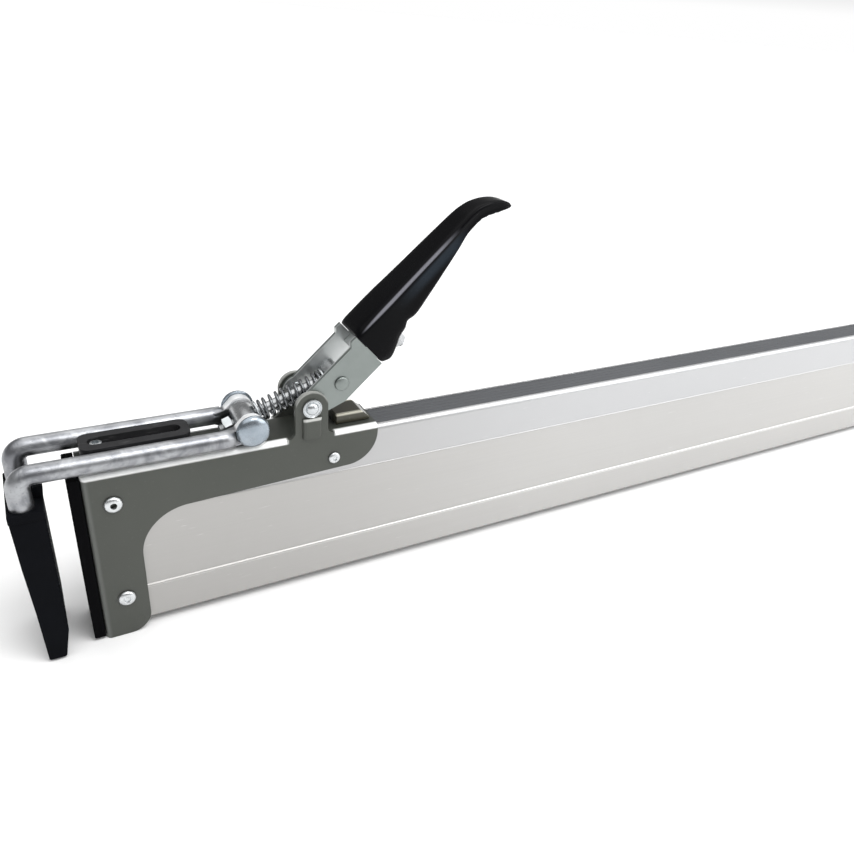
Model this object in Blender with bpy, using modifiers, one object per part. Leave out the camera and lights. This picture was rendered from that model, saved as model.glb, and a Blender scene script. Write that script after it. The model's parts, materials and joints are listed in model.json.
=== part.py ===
import math

import bmesh
import bpy
from mathutils import Matrix, Vector

# Guide rail with a lever-operated end clamp.
# X runs along the rail away from the clamp, Y from the front face to the back, Z up.
# The origin is the middle of the end pad's clamping face. All sizes are in metres.

fit_gap = 0.0003            # rest clearance between neighbouring pieces
run_gap = 0.0001            # radial clearance of a turning fit

beam_length = 1.200
beam_height = 0.100
beam_width = 0.025
beam_wall = 0.0020
beam_edge_radius = 0.0035
face_recess = 0.0006        # the middle band of each side face is set back this far
lower_step = 0.243 * beam_height    # heights of the two face steps above the underside
upper_step = 0.733 * beam_height
strip_width = beam_width - 0.0070
strip_depth = 0.0014

sheet = 0.0025              # bracket sheet thickness
end_pad_thickness = 0.0060
bracket_length = 0.1620
bracket_leg = 0.0247        # width of the bracket's leg down the beam's end
bracket_drop = 0.0040       # how far the leg reaches below the beam
leg_corner = 0.0120
inner_corner = 0.0270
arm_height = 0.25 * beam_height     # arm below the beam's top edge, at the leg
arm_tail_height = 0.212 * beam_height
tail_corner = 0.0190
bend_radius = 0.0030
lug_width = 0.0192
lug_position = 0.1210       # lug and pivot, from the bracket's end
boss_width = 0.0112         # pressed boss low on each lug
boss_height = 0.0120        # above the web
boss_rise = 0.0020
pivot_height = beam_height + 0.0206     # heights are above the beam's underside

bar_diameter = 0.0100
bar_spacing = beam_width + 0.0035
bar_height = beam_height + 0.0097
bar_bend_radius = 0.0068
leg_diameter = bar_diameter + 0.0012    # the bars thicken through the bend
bar_leg_position = 0.0270   # leg axis, outward from the bracket's end
bar_leg_foot = 0.66 * beam_height       # where the legs stop inside the shoe
eye_radius = 0.0078
eye_thickness = 0.0052      # bar ends flattened towards their inner side
eye_neck = 0.0102           # round bar's end, ahead of the trunnion
trunnion_position = 0.0875  # from the bracket's end
trunnion_height = beam_height + 0.0130
trunnion_barrel_radius = 0.0070
trunnion_journal_radius = 0.0050
cap_radius = 0.0090
cap_height = 0.0050

shoe_width = bar_spacing + bar_diameter + 0.0045
shoe_top = 0.925 * beam_height
shoe_face = 0.0176          # gripping face, outward from the bracket's end
shoe_lip_top = beam_height - 0.0010     # raised lip between the two legs

plate_start = 0.0025        # sliding guide plate, from the bracket's end
plate_end = 0.0570
plate_top = bar_height + 0.0046
plate_thickness = 0.0040
slot_width = 0.0072
slot_margin = 0.0042
guide_screw_radius = 0.0032

block_start = 0.1385
block_length = 0.0215
block_width = beam_width - 0.0090
block_height = 0.0064

lever_angle = math.radians(42.6)
cheek_thickness = 0.0025
cheek_length = 0.0450       # pivot to grip
cheek_above = 0.0070
cheek_below = 0.0145
cheek_step = 0.0096
cheek_tongue = 0.0120       # part of the cheek buried in the grip
tongue_low = -0.0090
tongue_high = 0.0010
link_along = 0.0211         # link pin in the lever's own directions
link_across = -0.0045
pivot_shank = 0.0030
link_shank = 0.0024

rod_radius = 0.0030
crosshead_radius = 0.0055
rod_tail = 0.0152
nut_flats = 0.0100
nut_thickness = 0.0048
washer_thickness = 0.0012
washer_radius = 0.0066
spring_wire = 0.0018
spring_outer_radius = 0.0063
spring_turns = 11
grip_screw_s = 0.0615       # pivot to the screw under the grip
grip_screw_head = 0.0050
grip_screw_seat = 0.0148

collection = bpy.data.collections.new("Clamp rail")
cutters = bpy.data.collections.new("Clamp rail cutters")


def clear_scene():
    for item in list(bpy.data.objects):
        bpy.data.objects.remove(item, do_unlink=True)
    bpy.context.scene.collection.children.link(collection)
    bpy.context.scene.collection.children.link(cutters)
    cutters.hide_render = True


def up(height):
    """Height above the beam's underside, as a frame coordinate."""
    return height - beam_height / 2


def along(distance):
    """Distance from the bracket's end towards the rail, as a frame coordinate."""
    return distance + end_pad_thickness


def material(name, colour, roughness, metallic):
    item = bpy.data.materials.new(name)
    item.use_nodes = True
    shader = item.node_tree.nodes["Principled BSDF"]
    shader.inputs["Base Color"].default_value = (*colour, 1.0)
    shader.inputs["Roughness"].default_value = roughness
    shader.inputs["Metallic"].default_value = metallic
    item.diffuse_color = (*colour, 1.0)
    return item


def mesh_object(name, mesh, group):
    item = bpy.data.objects.new(name, mesh)
    group.objects.link(item)
    return item


def finish(item, look, bevel=0.0, sharp=35.0):
    """Name the material after the piece, and add the small edge rounding."""
    colour, roughness, metallic = look
    item.data.materials.clear()
    item.data.materials.append(material(item.name, colour, roughness, metallic))
    if bevel:
        edge = item.modifiers.new("Edges", "BEVEL")
        edge.width = bevel
        edge.segments = 1
        edge.limit_method = "ANGLE"
        edge.angle_limit = math.radians(40)
        edge.use_clamp_overlap = True
    item.data.shade_smooth()
    item.data.set_sharp_from_angle(angle=math.radians(sharp))
    return item


def solid_from_curve(curve_item, group):
    """Turn a curve into a closed mesh at the same place and name."""
    bpy.context.view_layer.update()
    graph = bpy.context.evaluated_depsgraph_get()
    mesh = bpy.data.meshes.new_from_object(curve_item.evaluated_get(graph))
    shape = bmesh.new()
    shape.from_mesh(mesh)
    bmesh.ops.remove_doubles(shape, verts=shape.verts, dist=0.000005)
    bmesh.ops.recalc_face_normals(shape, faces=shape.faces)
    shape.to_mesh(mesh)
    shape.free()
    name = curve_item.name
    place = curve_item.matrix_world.copy()
    bpy.data.objects.remove(curve_item, do_unlink=True)
    item = mesh_object(name, mesh, group)
    item.matrix_world = place
    return item


def outline_solid(name, rings, thickness, group, place=Matrix()):
    """A flat outline, with any holes, given an even thickness about its own plane."""
    curve = bpy.data.curves.new(name, "CURVE")
    curve.dimensions = "2D"
    curve.fill_mode = "BOTH"
    curve.extrude = thickness / 2
    for ring in rings:
        spline = curve.splines.new("POLY")
        spline.points.add(len(ring) - 1)
        for point, (first, second) in zip(spline.points, ring):
            point.co = (first, second, 0.0, 1.0)
        spline.use_cyclic_u = True
    item = mesh_object(name, curve, group)
    item.matrix_world = place
    return solid_from_curve(item, group)


def turned_solid(name, profile, group, place=Matrix(), steps=32, ring=False):
    """Turn a profile of (radius, height) points, listed top to bottom, about its own Z."""
    mesh = bpy.data.meshes.new(name)
    points = [(radius, 0.0, height) for radius, height in profile]
    edges = [(i, i + 1) for i in range(len(points) - 1)]
    if ring:
        edges.append((len(points) - 1, 0))
    mesh.from_pydata(points, edges, [])
    item = mesh_object(name, mesh, group)
    item.matrix_world = place
    turn = item.modifiers.new("Turn", "SCREW")
    turn.angle = 2 * math.pi
    turn.steps = steps
    turn.render_steps = steps
    turn.use_merge_vertices = True
    turn.merge_threshold = 0.00001
    turn.use_smooth_shade = True
    return item


def box(name, low, high, group, place=Matrix()):
    mesh = bpy.data.meshes.new(name)
    shape = bmesh.new()
    bmesh.ops.create_cube(shape, size=1.0)
    size = [b - a for a, b in zip(low, high)]
    centre = [(a + b) / 2 for a, b in zip(low, high)]
    bmesh.ops.scale(shape, vec=size, verts=shape.verts)
    bmesh.ops.translate(shape, vec=centre, verts=shape.verts)
    shape.to_mesh(mesh)
    shape.free()
    item = mesh_object(name, mesh, group)
    item.matrix_world = place
    return item


def rod(name, radius, start, end, group, segments=32):
    """A plain round bar between two points."""
    first = Vector(start)
    second = Vector(end)
    mesh = bpy.data.meshes.new(name)
    shape = bmesh.new()
    bmesh.ops.create_cone(shape, cap_ends=True, segments=segments, radius1=radius,
                          radius2=radius, depth=(second - first).length)
    shape.to_mesh(mesh)
    shape.free()
    item = mesh_object(name, mesh, group)
    turn = (second - first).to_track_quat("Z", "Y").to_matrix().to_4x4()
    item.matrix_world = Matrix.Translation((first + second) / 2) @ turn
    return item


def tube_path(name, points, radius, group, resolution=4, swell=()):
    """A round bar swept along a line of points, thicker where swell says so."""
    curve = bpy.data.curves.new(name, "CURVE")
    curve.dimensions = "3D"
    curve.bevel_depth = radius
    curve.bevel_resolution = resolution
    curve.use_fill_caps = True
    spline = curve.splines.new("POLY")
    spline.points.add(len(points) - 1)
    for point, spot in zip(spline.points, points):
        point.co = (*spot, 1.0)
    for point, scale in zip(spline.points, swell):
        point.radius = scale
    return solid_from_curve(mesh_object(name, curve, group), group)


def boolean(item, other, kind="DIFFERENCE"):
    step = item.modifiers.new(kind.title() + " " + other.name, "BOOLEAN")
    step.operation = kind
    step.solver = "EXACT"
    step.object = other
    other.display_type = "WIRE"
    other.hide_render = True


def arc(centre, radius, start, end, count):
    """Points on an arc; angles in degrees."""
    points = []
    for i in range(count + 1):
        turn = math.radians(start + (end - start) * i / count)
        points.append((centre[0] + radius * math.cos(turn), centre[1] + radius * math.sin(turn)))
    return points


def side_view(y=0.0):
    """Places an outline drawn in (X, Z) upright at a given depth."""
    return Matrix.Translation((0, y, 0)) @ Matrix.Rotation(math.pi / 2, 4, "X")


def end_view(x=0.0):
    """Places an outline drawn in (Y, Z) across the rail."""
    turn = Matrix(((0, 0, 1, 0), (1, 0, 0, 0), (0, 1, 0, 0), (0, 0, 0, 1)))
    return Matrix.Translation((x, 0, 0)) @ turn


def axis_y(spot, outward=1):
    """Turns a lathe's Z onto the Y axis; outward is -1 for the front, 1 for the back."""
    return Matrix.Translation(spot) @ Matrix.Rotation(-outward * math.pi / 2, 4, "X")


def cross_cutter(name, radius, x, z, reach, segments=32):
    return rod(name, radius, (x, -reach, z), (x, reach, z), cutters, segments)


aluminium = ((0.80, 0.81, 0.82), 0.34, 1.0)
coated = ((0.105, 0.110, 0.090), 0.45, 0.75)
zinc = ((0.58, 0.60, 0.61), 0.32, 1.0)
galvanised = ((0.66, 0.68, 0.69), 0.42, 1.0)
rubber = ((0.012, 0.012, 0.014), 0.72, 0.0)
strip_look = ((0.085, 0.090, 0.095), 0.55, 0.1)
black_steel = ((0.020, 0.020, 0.022), 0.40, 0.4)
plastic = ((0.010, 0.010, 0.012), 0.25, 0.0)

front = -1
back = 1
half_width = beam_width / 2
inner_face = half_width + fit_gap
outer_face = inner_face + sheet
eye_inner = bar_spacing / 2 - bar_diameter / 2 + 0.0004
web_under = beam_height + fit_gap
web_top = web_under + sheet
pivot = Vector((along(lug_position), 0.0, up(pivot_height)))
lever_turn = Matrix.Rotation(-lever_angle, 4, "Y")
lever_place = Matrix.Translation(pivot) @ lever_turn
link = lever_place @ Vector((link_along, 0.0, link_across))
trunnion = Vector((along(trunnion_position), 0.0, up(trunnion_height)))
rod_length = (link - trunnion).length
rod_direction = (link - trunnion).normalized()
rod_slope = math.atan2(rod_direction.z, rod_direction.x)
rod_place = Matrix.Translation(trunnion) @ Matrix.Rotation(math.pi / 2 - rod_slope, 4, "Y")
guide_screw_x = along(plate_start + slot_margin) + slot_width / 2 + 0.0004


def build_beam():
    half = half_width
    low = up(0)
    high = up(beam_height)
    soft = beam_edge_radius
    inset = half - face_recess
    groove = strip_width / 2
    right = [(half, up(lower_step)), (inset, up(lower_step) + face_recess),
             (inset, up(upper_step) - face_recess), (half, up(upper_step))]
    outer = arc((half - soft, low + soft), soft, -90, 0, 5) + right
    outer += arc((half - soft, high - soft), soft, 0, 90, 5)
    outer += [(groove, high), (groove, high - strip_depth)]
    outer += [(-first, second) for first, second in reversed(outer)]
    hollow = inset - beam_wall
    rib = beam_wall / 2
    levels = [(beam_wall, lower_step - rib), (lower_step + rib, upper_step - rib),
              (upper_step + rib, beam_height - strip_depth - beam_wall)]
    rings = [outer]
    for bottom, top in levels:
        rings.append([(-hollow, up(bottom)), (hollow, up(bottom)), (hollow, up(top)), (-hollow, up(top))])
    start = along(sheet + fit_gap)
    item = outline_solid("beam", rings, beam_length, collection, end_view(start + beam_length / 2))
    for label, x, height, radius in rivet_spots():
        boolean(item, cross_cutter("beam_hole_" + label, radius + fit_gap, along(x), up(height), 0.03, 20))
    finish(item, aluminium)


def build_strip():
    half = strip_width / 2 - fit_gap
    low = up(beam_height) - strip_depth + fit_gap
    high = up(beam_height) - fit_gap
    ring = [(-half, low), (half, low), (half, high - 0.0003), (half - 0.0004, high),
            (-half + 0.0004, high), (-half, high - 0.0003)]
    start = along(sheet + fit_gap)
    item = outline_solid("top_strip", [ring], beam_length, collection, end_view(start + beam_length / 2))
    finish(item, strip_look)


def rivet_spots():
    return [("upper", 0.0135, 0.844 * beam_height, 0.0024),
            ("lower", 0.0133, 0.220 * beam_height, 0.0024),
            ("tail", 0.1346, 0.859 * beam_height, 0.0018)]


def bracket_outline():
    leg = along(bracket_leg)
    left = along(0)
    bottom = up(-bracket_drop)
    top = up(web_top)
    arm = up(beam_height - arm_height)
    tail = up(beam_height - arm_tail_height)
    right = along(bracket_length)
    lug_x = pivot.x
    half_lug = lug_width / 2
    ring = [(left, bottom)]
    ring += arc((leg - leg_corner, bottom + leg_corner), leg_corner, -90, 0, 6)
    ring += arc((leg + inner_corner, arm - inner_corner), inner_corner, 180, 90, 10)
    ring += arc((right - tail_corner, tail + tail_corner), tail_corner, -90, 0, 8)
    ring += [(right, top)]
    flare = 0.0040
    ring += arc((lug_x + half_lug + flare, top + flare), flare, 270, 180, 4)
    ring += arc((lug_x, pivot.z), half_lug, 0, 180, 14)
    ring += arc((lug_x - half_lug - flare, top + flare), flare, 0, -90, 4)
    ring += [(left, top)]
    return ring


def bend_cutter(name, start, end, side):
    """Rounds the outer bend between the web and a side plate."""
    radius = bend_radius
    middle = (side * (outer_face - radius), up(web_top) - radius)
    corner = [(side * (outer_face + 0.001), up(web_top) + 0.001)]
    sweep = arc(middle, radius, 90 if side < 0 else 0, 180 if side < 0 else 90, 5)
    if side < 0:
        ring = corner + [(middle[0], up(web_top) + 0.001)] + sweep + [(corner[0][0], middle[1])]
    else:
        ring = corner + [(corner[0][0], middle[1])] + sweep + [(middle[0], up(web_top) + 0.001)]
    return outline_solid(name, [ring], end - start, cutters, end_view((start + end) / 2))


def corner_cutter(name, side):
    """Rounds the upright bend at the bracket's end."""
    radius = bend_radius
    edge = along(0)
    middle = (edge + radius, side * (outer_face - radius))
    sweep = arc(middle, radius, 180, 270, 5) if side < 0 else arc(middle, radius, 90, 180, 5)
    far = side * (outer_face + 0.001)
    if side < 0:
        ring = [(edge - 0.001, far), (edge - 0.001, middle[1])] + sweep + [(middle[0], far)]
    else:
        ring = [(edge - 0.001, far), (middle[0], far)] + sweep + [(edge - 0.001, middle[1])]
    return outline_solid(name, [ring], 0.2, cutters, Matrix.Translation((0, 0, 0)))


def lug_boss(word, side):
    """A rounded boss standing proud of a lug's outer face, drawn from above."""
    half = boss_width / 2
    root = side * (outer_face - 0.0010)
    crest = side * (outer_face + boss_rise)
    shoulder = side * (outer_face + boss_rise * 0.45)
    ring = [(pivot.x - half, root), (pivot.x - half, shoulder), (pivot.x - half * 0.72, crest),
            (pivot.x + half * 0.72, crest), (pivot.x + half, shoulder), (pivot.x + half, root)]
    low = up(web_top) - 0.0005
    high = up(web_top) + boss_height
    return outline_solid("lug_boss_" + word, [ring], high - low, cutters,
                         Matrix.Translation((0, 0, (low + high) / 2)))


def build_bracket():
    item = outline_solid("end_bracket", [bracket_outline()], 2 * outer_face, collection, side_view())
    inside = box("bracket_inside", (along(sheet), -inner_face, up(-0.05)),
                 (along(bracket_length + 0.05), inner_face, up(web_under)), cutters)
    above = box("bracket_above", (along(-0.02), -inner_face, up(web_top)),
                (along(bracket_length + 0.05), inner_face, up(web_top + 0.05)), cutters)
    boolean(item, inside)
    boolean(item, above)
    flare_reach = lug_width / 2 + 0.0045
    for side, word in ((front, "front"), (back, "back")):
        boolean(item, bend_cutter("bend_near_" + word, along(-0.002), pivot.x - flare_reach, side))
        far_end = along(bracket_length + 0.002)
        boolean(item, bend_cutter("bend_far_" + word, pivot.x + flare_reach, far_end, side))
        boolean(item, corner_cutter("bend_end_" + word, side))
        boolean(item, lug_boss(word, side), "UNION")
    for label, x, height, radius in rivet_spots():
        boolean(item, cross_cutter("plate_hole_" + label, radius + fit_gap, along(x), up(height), 0.03, 20))
    boolean(item, cross_cutter("lug_bore", pivot_shank + run_gap, pivot.x, pivot.z, 0.03, 32))
    screw_hole = rod("guide_screw_hole", guide_screw_radius + fit_gap,
                     (guide_screw_x, 0, up(web_under) - 0.002), (guide_screw_x, 0, up(web_top) + 0.002),
                     cutters, 24)
    boolean(item, screw_hole)
    finish(item, coated, bevel=0.0003)


def build_end_pad():
    half = outer_face - 0.0008
    low = up(-0.0022)
    high = up(web_top - 0.0010)
    item = box("end_pad", (0.0, -half, low), (end_pad_thickness - fit_gap, half, high), collection)
    finish(item, rubber, bevel=0.0006)


def build_rivets():
    for side, word in ((front, "front"), (back, "back")):
        for label, x, height, radius in rivet_spots():
            head = 0.0047 if radius > 0.002 else 0.0036
            rise = 0.0024 if radius > 0.002 else 0.0016
            centre = 0.0017 if radius > 0.002 else 0.0010
            deep = 0.0012
            dome = [(head * math.cos(t), rise * math.sin(t)) for t in
                    [math.pi / 2 * (1 - k / 5) for k in range(6)]]
            dome = [(r, h) for r, h in dome if r > centre * 1.3]
            profile = [(0.0, rise - deep), (centre, rise - deep), (centre, rise - 0.0001)]
            profile += [(r, h + fit_gap) for r, h in dome]
            reach = sheet + fit_gap + beam_wall + 0.0014
            profile += [(radius, fit_gap), (radius, -reach), (0.0, -reach)]
            spot = (along(x), side * outer_face, up(height))
            item = turned_solid("rivet_" + word + "_" + label, profile, collection, axis_y(spot, side), 24)
            finish(item, zinc)


def build_pivots():
    for side, word in ((front, "front"), (back, "back")):
        outer_gap = fit_gap
        head = 0.0056
        rise = 0.0030
        dome = [(head * math.cos(t), rise * math.sin(t) + outer_gap) for t in
                [math.pi / 2 * (1 - k / 6) for k in range(7)]]
        inner = half_width - cheek_thickness
        reach = outer_face - inner + fit_gap
        profile = [(0.0, dome[0][1])] + dome[1:]
        profile += [(pivot_shank, outer_gap), (pivot_shank, -reach), (0.0048, -reach),
                    (0.0044, -reach - 0.0014), (0.0, -reach - 0.0014)]
        spot = (pivot.x, side * outer_face, pivot.z)
        item = turned_solid("pivot_rivet_" + word, profile, collection, axis_y(spot, side), 32)
        finish(item, zinc)


def build_stop_block():
    low = up(web_top + fit_gap)
    high = low + block_height
    start = along(block_start)
    end = start + block_length
    ring = [(start, low), (end, low), (end, low + 0.0014), (end - 0.0055, high), (start, high)]
    item = outline_solid("stop_block", [ring], block_width, collection, side_view())
    finish(item, coated, bevel=0.0005)


def build_guide_screw():
    top = up(plate_top) - 0.0008
    radius = guide_screw_radius
    foot = up(web_under) + 0.0004
    profile = [(0.0, top - 0.0018), (0.0016, top - 0.0018), (0.0018, top), (radius - 0.0004, top),
               (radius, top - 0.0004), (radius, foot), (0.0, foot)]
    item = turned_solid("guide_screw", profile, collection, Matrix.Translation((guide_screw_x, 0, 0)), 28)
    finish(item, zinc)


def build_guide_plate():
    half = bar_spacing / 2 - bar_diameter / 2 - fit_gap
    radius = 0.0050
    first = along(plate_start)
    last = along(plate_end)
    outer = arc((first + radius, half - radius), radius, 90, 180, 5)
    outer += arc((first + radius, -half + radius), radius, 180, 270, 5)
    outer += arc((last - radius, -half + radius), radius, 270, 360, 5)
    outer += arc((last - radius, half - radius), radius, 0, 90, 5)
    narrow = slot_width / 2
    slot = arc((first + slot_margin + narrow, 0), narrow, 90, 270, 10)
    slot += arc((last - slot_margin - narrow, 0), narrow, 270, 450, 10)
    place = Matrix.Translation((0, 0, up(plate_top) - plate_thickness / 2))
    item = outline_solid("guide_plate", [outer, slot], plate_thickness, collection, place)
    finish(item, black_steel, bevel=0.0005)


def build_bars():
    for side, word in ((front, "front"), (back, "back")):
        y = side * bar_spacing / 2
        radius = bar_bend_radius
        leg = along(-bar_leg_position)
        level = up(bar_height)
        bend = arc((leg + radius, level - radius), radius, 180, 90, 10)
        points = [(leg, y, up(bar_leg_foot))] + [(x, y, z) for x, z in bend]
        points.append((trunnion.x - eye_neck, y, level))
        thick = leg_diameter / bar_diameter
        swell = [thick] + [thick + (1 - thick) * k / 10 for k in range(11)] + [1.0]
        bar = tube_path("hook_bar_" + word, points, bar_diameter / 2, collection, 4, swell)
        neck = trunnion.x - eye_neck
        ring = [(neck - 0.0040, level - 0.0034), (neck + 0.0010, level - 0.0046)]
        ring += arc((trunnion.x, trunnion.z), eye_radius, -115, 118, 22)
        ring += [(neck + 0.0010, level + 0.0046), (neck - 0.0040, level + 0.0034)]
        middle = side * (eye_inner + eye_thickness / 2)
        boolean(bar, outline_solid("eye_" + word, [ring], eye_thickness, cutters, side_view(middle)), "UNION")
        bore_radius = trunnion_journal_radius + run_gap
        bore = cross_cutter("eye_bore_" + word, bore_radius, trunnion.x, trunnion.z, 0.04, 32)
        boolean(bar, bore)
        finish(bar, galvanised)


def build_shoe():
    leg = along(-bar_leg_position)
    face = along(-shoe_face)
    lip_x = leg + leg_diameter / 2 + fit_gap
    top = up(shoe_top)
    lip = up(shoe_lip_top)
    bottom = up(-0.0026)
    outer_top = leg - leg_diameter / 2 - 0.0012
    ring = [(along(-0.0295), bottom), (along(-0.0208), bottom), (along(-0.0200), bottom + 0.0008),
            (face, up(0.15 * beam_height)), (face, top - 0.0006), (face - 0.0006, top),
            (outer_top + 0.0006, top), (outer_top, top - 0.0006),
            (along(-0.0326), up(0.60 * beam_height)), (along(-0.0308), up(0.30 * beam_height)),
            (along(-0.0302), bottom + 0.0006)]
    item = outline_solid("jaw_shoe", [ring], shoe_width, collection, side_view())
    raised = [(lip_x, top - 0.0040), (face + 0.0002, top - 0.0040), (face + 0.0012, lip - 0.0010),
              (face + 0.0004, lip), (lip_x + 0.0008, lip), (lip_x, lip - 0.0008)]
    lip_width = bar_spacing - leg_diameter - 2 * fit_gap
    boolean(item, outline_solid("shoe_lip", [raised], lip_width, cutters, side_view()), "UNION")
    for side, word in ((front, "front"), (back, "back")):
        y = side * bar_spacing / 2
        socket = rod("shoe_socket_" + word, leg_diameter / 2 + fit_gap,
                     (leg, y, up(bar_leg_foot) - fit_gap), (leg, y, top + 0.03), cutters, 24)
        boolean(item, socket)
    finish(item, rubber, bevel=0.0006)


def build_trunnion():
    barrel = eye_inner - fit_gap
    reach = eye_inner + eye_thickness + 0.0024
    journal = trunnion_journal_radius
    chamfer = 0.0004
    profile = [(0.0, reach), (journal, reach), (journal, barrel),
               (trunnion_barrel_radius - chamfer, barrel), (trunnion_barrel_radius, barrel - chamfer),
               (trunnion_barrel_radius, -barrel + chamfer), (trunnion_barrel_radius - chamfer, -barrel),
               (journal, -barrel), (journal, -reach), (0.0, -reach)]
    item = turned_solid("trunnion", profile, collection, axis_y(trunnion, back), 32)
    bore = rod("trunnion_rod_bore", rod_radius + fit_gap, trunnion - rod_direction * 0.02,
               trunnion + rod_direction * 0.02, cutters, 24)
    boolean(item, bore)
    finish(item, zinc)
    for side, word in ((front, "front"), (back, "back")):
        base = eye_inner + eye_thickness + fit_gap
        dome = [(cap_radius * math.cos(t), cap_height * math.sin(t)) for t in
                [math.pi / 2 * (1 - k / 7) for k in range(7)]]
        depth = reach - base + fit_gap
        profile = [(0.0, dome[0][1])] + dome[1:] + [(cap_radius, 0.0010), (cap_radius, 0.0)]
        profile += [(journal + fit_gap, 0.0), (journal + fit_gap, depth), (0.0, depth)]
        spot = trunnion + Vector((0, side * base, 0))
        cap = turned_solid("trunnion_cap_" + word, profile, collection, axis_y(spot, side), 32)
        finish(cap, zinc)


def build_draw_rod():
    half_cross = half_width - cheek_thickness - fit_gap
    shaft = rod("draw_rod", rod_radius, trunnion - rod_direction * rod_tail,
                link - rod_direction * crosshead_radius * 0.4, collection, 24)
    cross = rod("crosshead", crosshead_radius, link + Vector((0, -half_cross, 0)),
                link + Vector((0, half_cross, 0)), cutters, 28)
    boolean(shaft, cross, "UNION")
    finish(shaft, zinc, bevel=0.0003)


def washer(name, distance, radius, look=zinc):
    """A washer on the draw rod; distance is its near face from the trunnion axis."""
    bore = rod_radius + fit_gap
    far = distance + washer_thickness
    profile = [(bore, far), (radius, far), (radius, distance), (bore, distance)]
    item = turned_solid(name, profile, collection, rod_place, 28, ring=True)
    finish(item, look)
    return item


def build_spring():
    near = trunnion_barrel_radius + fit_gap
    washer("spring_washer_near", near, washer_radius)
    far = rod_length - crosshead_radius - fit_gap - washer_thickness
    washer("spring_washer_far", far, washer_radius)
    start = near + washer_thickness + fit_gap + spring_wire / 2
    end = far - fit_gap - spring_wire / 2
    middle = spring_outer_radius - spring_wire / 2
    count = spring_turns * 18
    points = []
    for i in range(count + 1):
        share = i / count
        # the two end turns lie flat against the washers
        climb = min(max((share * spring_turns - 0.8) / (spring_turns - 1.6), 0.0), 1.0)
        turn = 2 * math.pi * spring_turns * share
        height = start + spring_wire * 0.55 * min(share * spring_turns / 0.8, 1.0)
        height += (end - start - spring_wire * 1.1) * climb
        height += spring_wire * 0.55 * max((share - 1) * spring_turns / 0.8 + 1.0, 0.0)
        spot = rod_place @ Vector((middle * math.cos(turn), middle * math.sin(turn), height))
        points.append(tuple(spot))
    item = tube_path("clamp_spring", points, spring_wire / 2, collection, 2)
    finish(item, zinc, sharp=60)


def build_nut():
    near = trunnion_barrel_radius + fit_gap
    ring = [(nut_flats / math.sqrt(3) * math.cos(math.radians(60 * k)),
             nut_flats / math.sqrt(3) * math.sin(math.radians(60 * k))) for k in range(6)]
    bore = arc((0, 0), rod_radius + run_gap, 0, 345, 23)
    place = rod_place @ Matrix.Translation((0, 0, -near - nut_thickness / 2))
    item = outline_solid("adjusting_nut", [ring, bore], nut_thickness, collection, place)
    finish(item, zinc, bevel=0.0004)


def lever_view(y=0.0):
    """Places an outline drawn in the lever's own directions at a given depth."""
    return lever_place @ Matrix.Translation((0, y, 0)) @ Matrix.Rotation(math.pi / 2, 4, "X")


def cheek_outline():
    tongue = cheek_length + cheek_tongue
    ring = arc((0, 0), 0.0080, 60, 215, 10)
    ring += [(0.0030, -0.0100), (0.0150, -cheek_below), (cheek_length, -cheek_below)]
    ring += [(cheek_length, tongue_low), (tongue, tongue_low), (tongue, tongue_high),
             (cheek_length, tongue_high), (cheek_length, cheek_step), (cheek_length - 0.0040, cheek_step),
             (cheek_length - 0.0060, cheek_above), (cheek_length - 0.0100, cheek_above)]
    return ring


def build_cheeks():
    for side, word in ((front, "front"), (back, "back")):
        y = side * (half_width - cheek_thickness / 2)
        item = outline_solid("lever_cheek_" + word, [cheek_outline()], cheek_thickness,
                             collection, lever_view(y))
        boolean(item, cross_cutter("cheek_bore_" + word, pivot_shank + run_gap, pivot.x, pivot.z, 0.03, 32))
        boolean(item, cross_cutter("cheek_link_" + word, link_shank + fit_gap, link.x, link.z, 0.03, 20))
        finish(item, zinc, bevel=0.0003)
        head = 0.0042
        rise = 0.0018
        dome = [(head * math.cos(t), rise * math.sin(t) + fit_gap) for t in
                [math.pi / 2 * (1 - k / 5) for k in range(6)]]
        reach = cheek_thickness
        profile = [(0.0, dome[0][1])] + dome[1:]
        profile += [(link_shank, fit_gap), (link_shank, -reach), (0.0, -reach)]
        spot = (link.x, side * half_width, link.z)
        rivet = turned_solid("link_rivet_" + word, profile, collection, axis_y(spot, side), 24)
        finish(rivet, zinc)


def build_bridge():
    half = half_width - cheek_thickness - fit_gap
    item = box("lever_bridge", (0.0390, -half, -0.0020), (cheek_length + 0.0100, half, 0.0005),
               collection, lever_place)
    finish(item, zinc, bevel=0.0003)


def grip_station(s):
    """Top, bottom and half width of the grip at a distance from the pivot."""
    top = [(0.0453, 0.0098), (0.050, 0.0106), (0.095, 0.0102), (0.127, 0.0098), (0.136, 0.0096),
           (0.143, 0.0084), (0.1495, 0.0055), (0.155, 0.0015), (0.1590, -0.0035), (0.1612, -0.0070)]
    low = [(0.0453, -0.0172), (0.0507, -0.0200), (0.059, -0.0165), (0.063, -0.0140), (0.069, -0.0124),
           (0.0725, -0.0100), (0.0775, -0.0112), (0.0915, -0.0088), (0.106, -0.0055), (0.121, -0.0018),
           (0.132, 0.0010), (0.1405, 0.0008), (0.146, -0.0012), (0.1545, -0.0062), (0.1590, -0.0085),
           (0.1612, -0.0092)]
    base = half_width + 0.0010
    wide = [(0.0453, base), (0.060, base), (0.100, base - 0.0022), (0.130, base - 0.0040),
            (0.145, base - 0.0055), (0.155, base - 0.0068), (0.1590, base - 0.0078), (0.1612, base - 0.0098)]
    found = []
    for table in (top, low, wide):
        for (first, a), (second, b) in zip(table, table[1:]):
            if s <= second + 1e-9:
                share = (s - first) / (second - first)
                found.append(a + (b - a) * share)
                break
    return found


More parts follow.
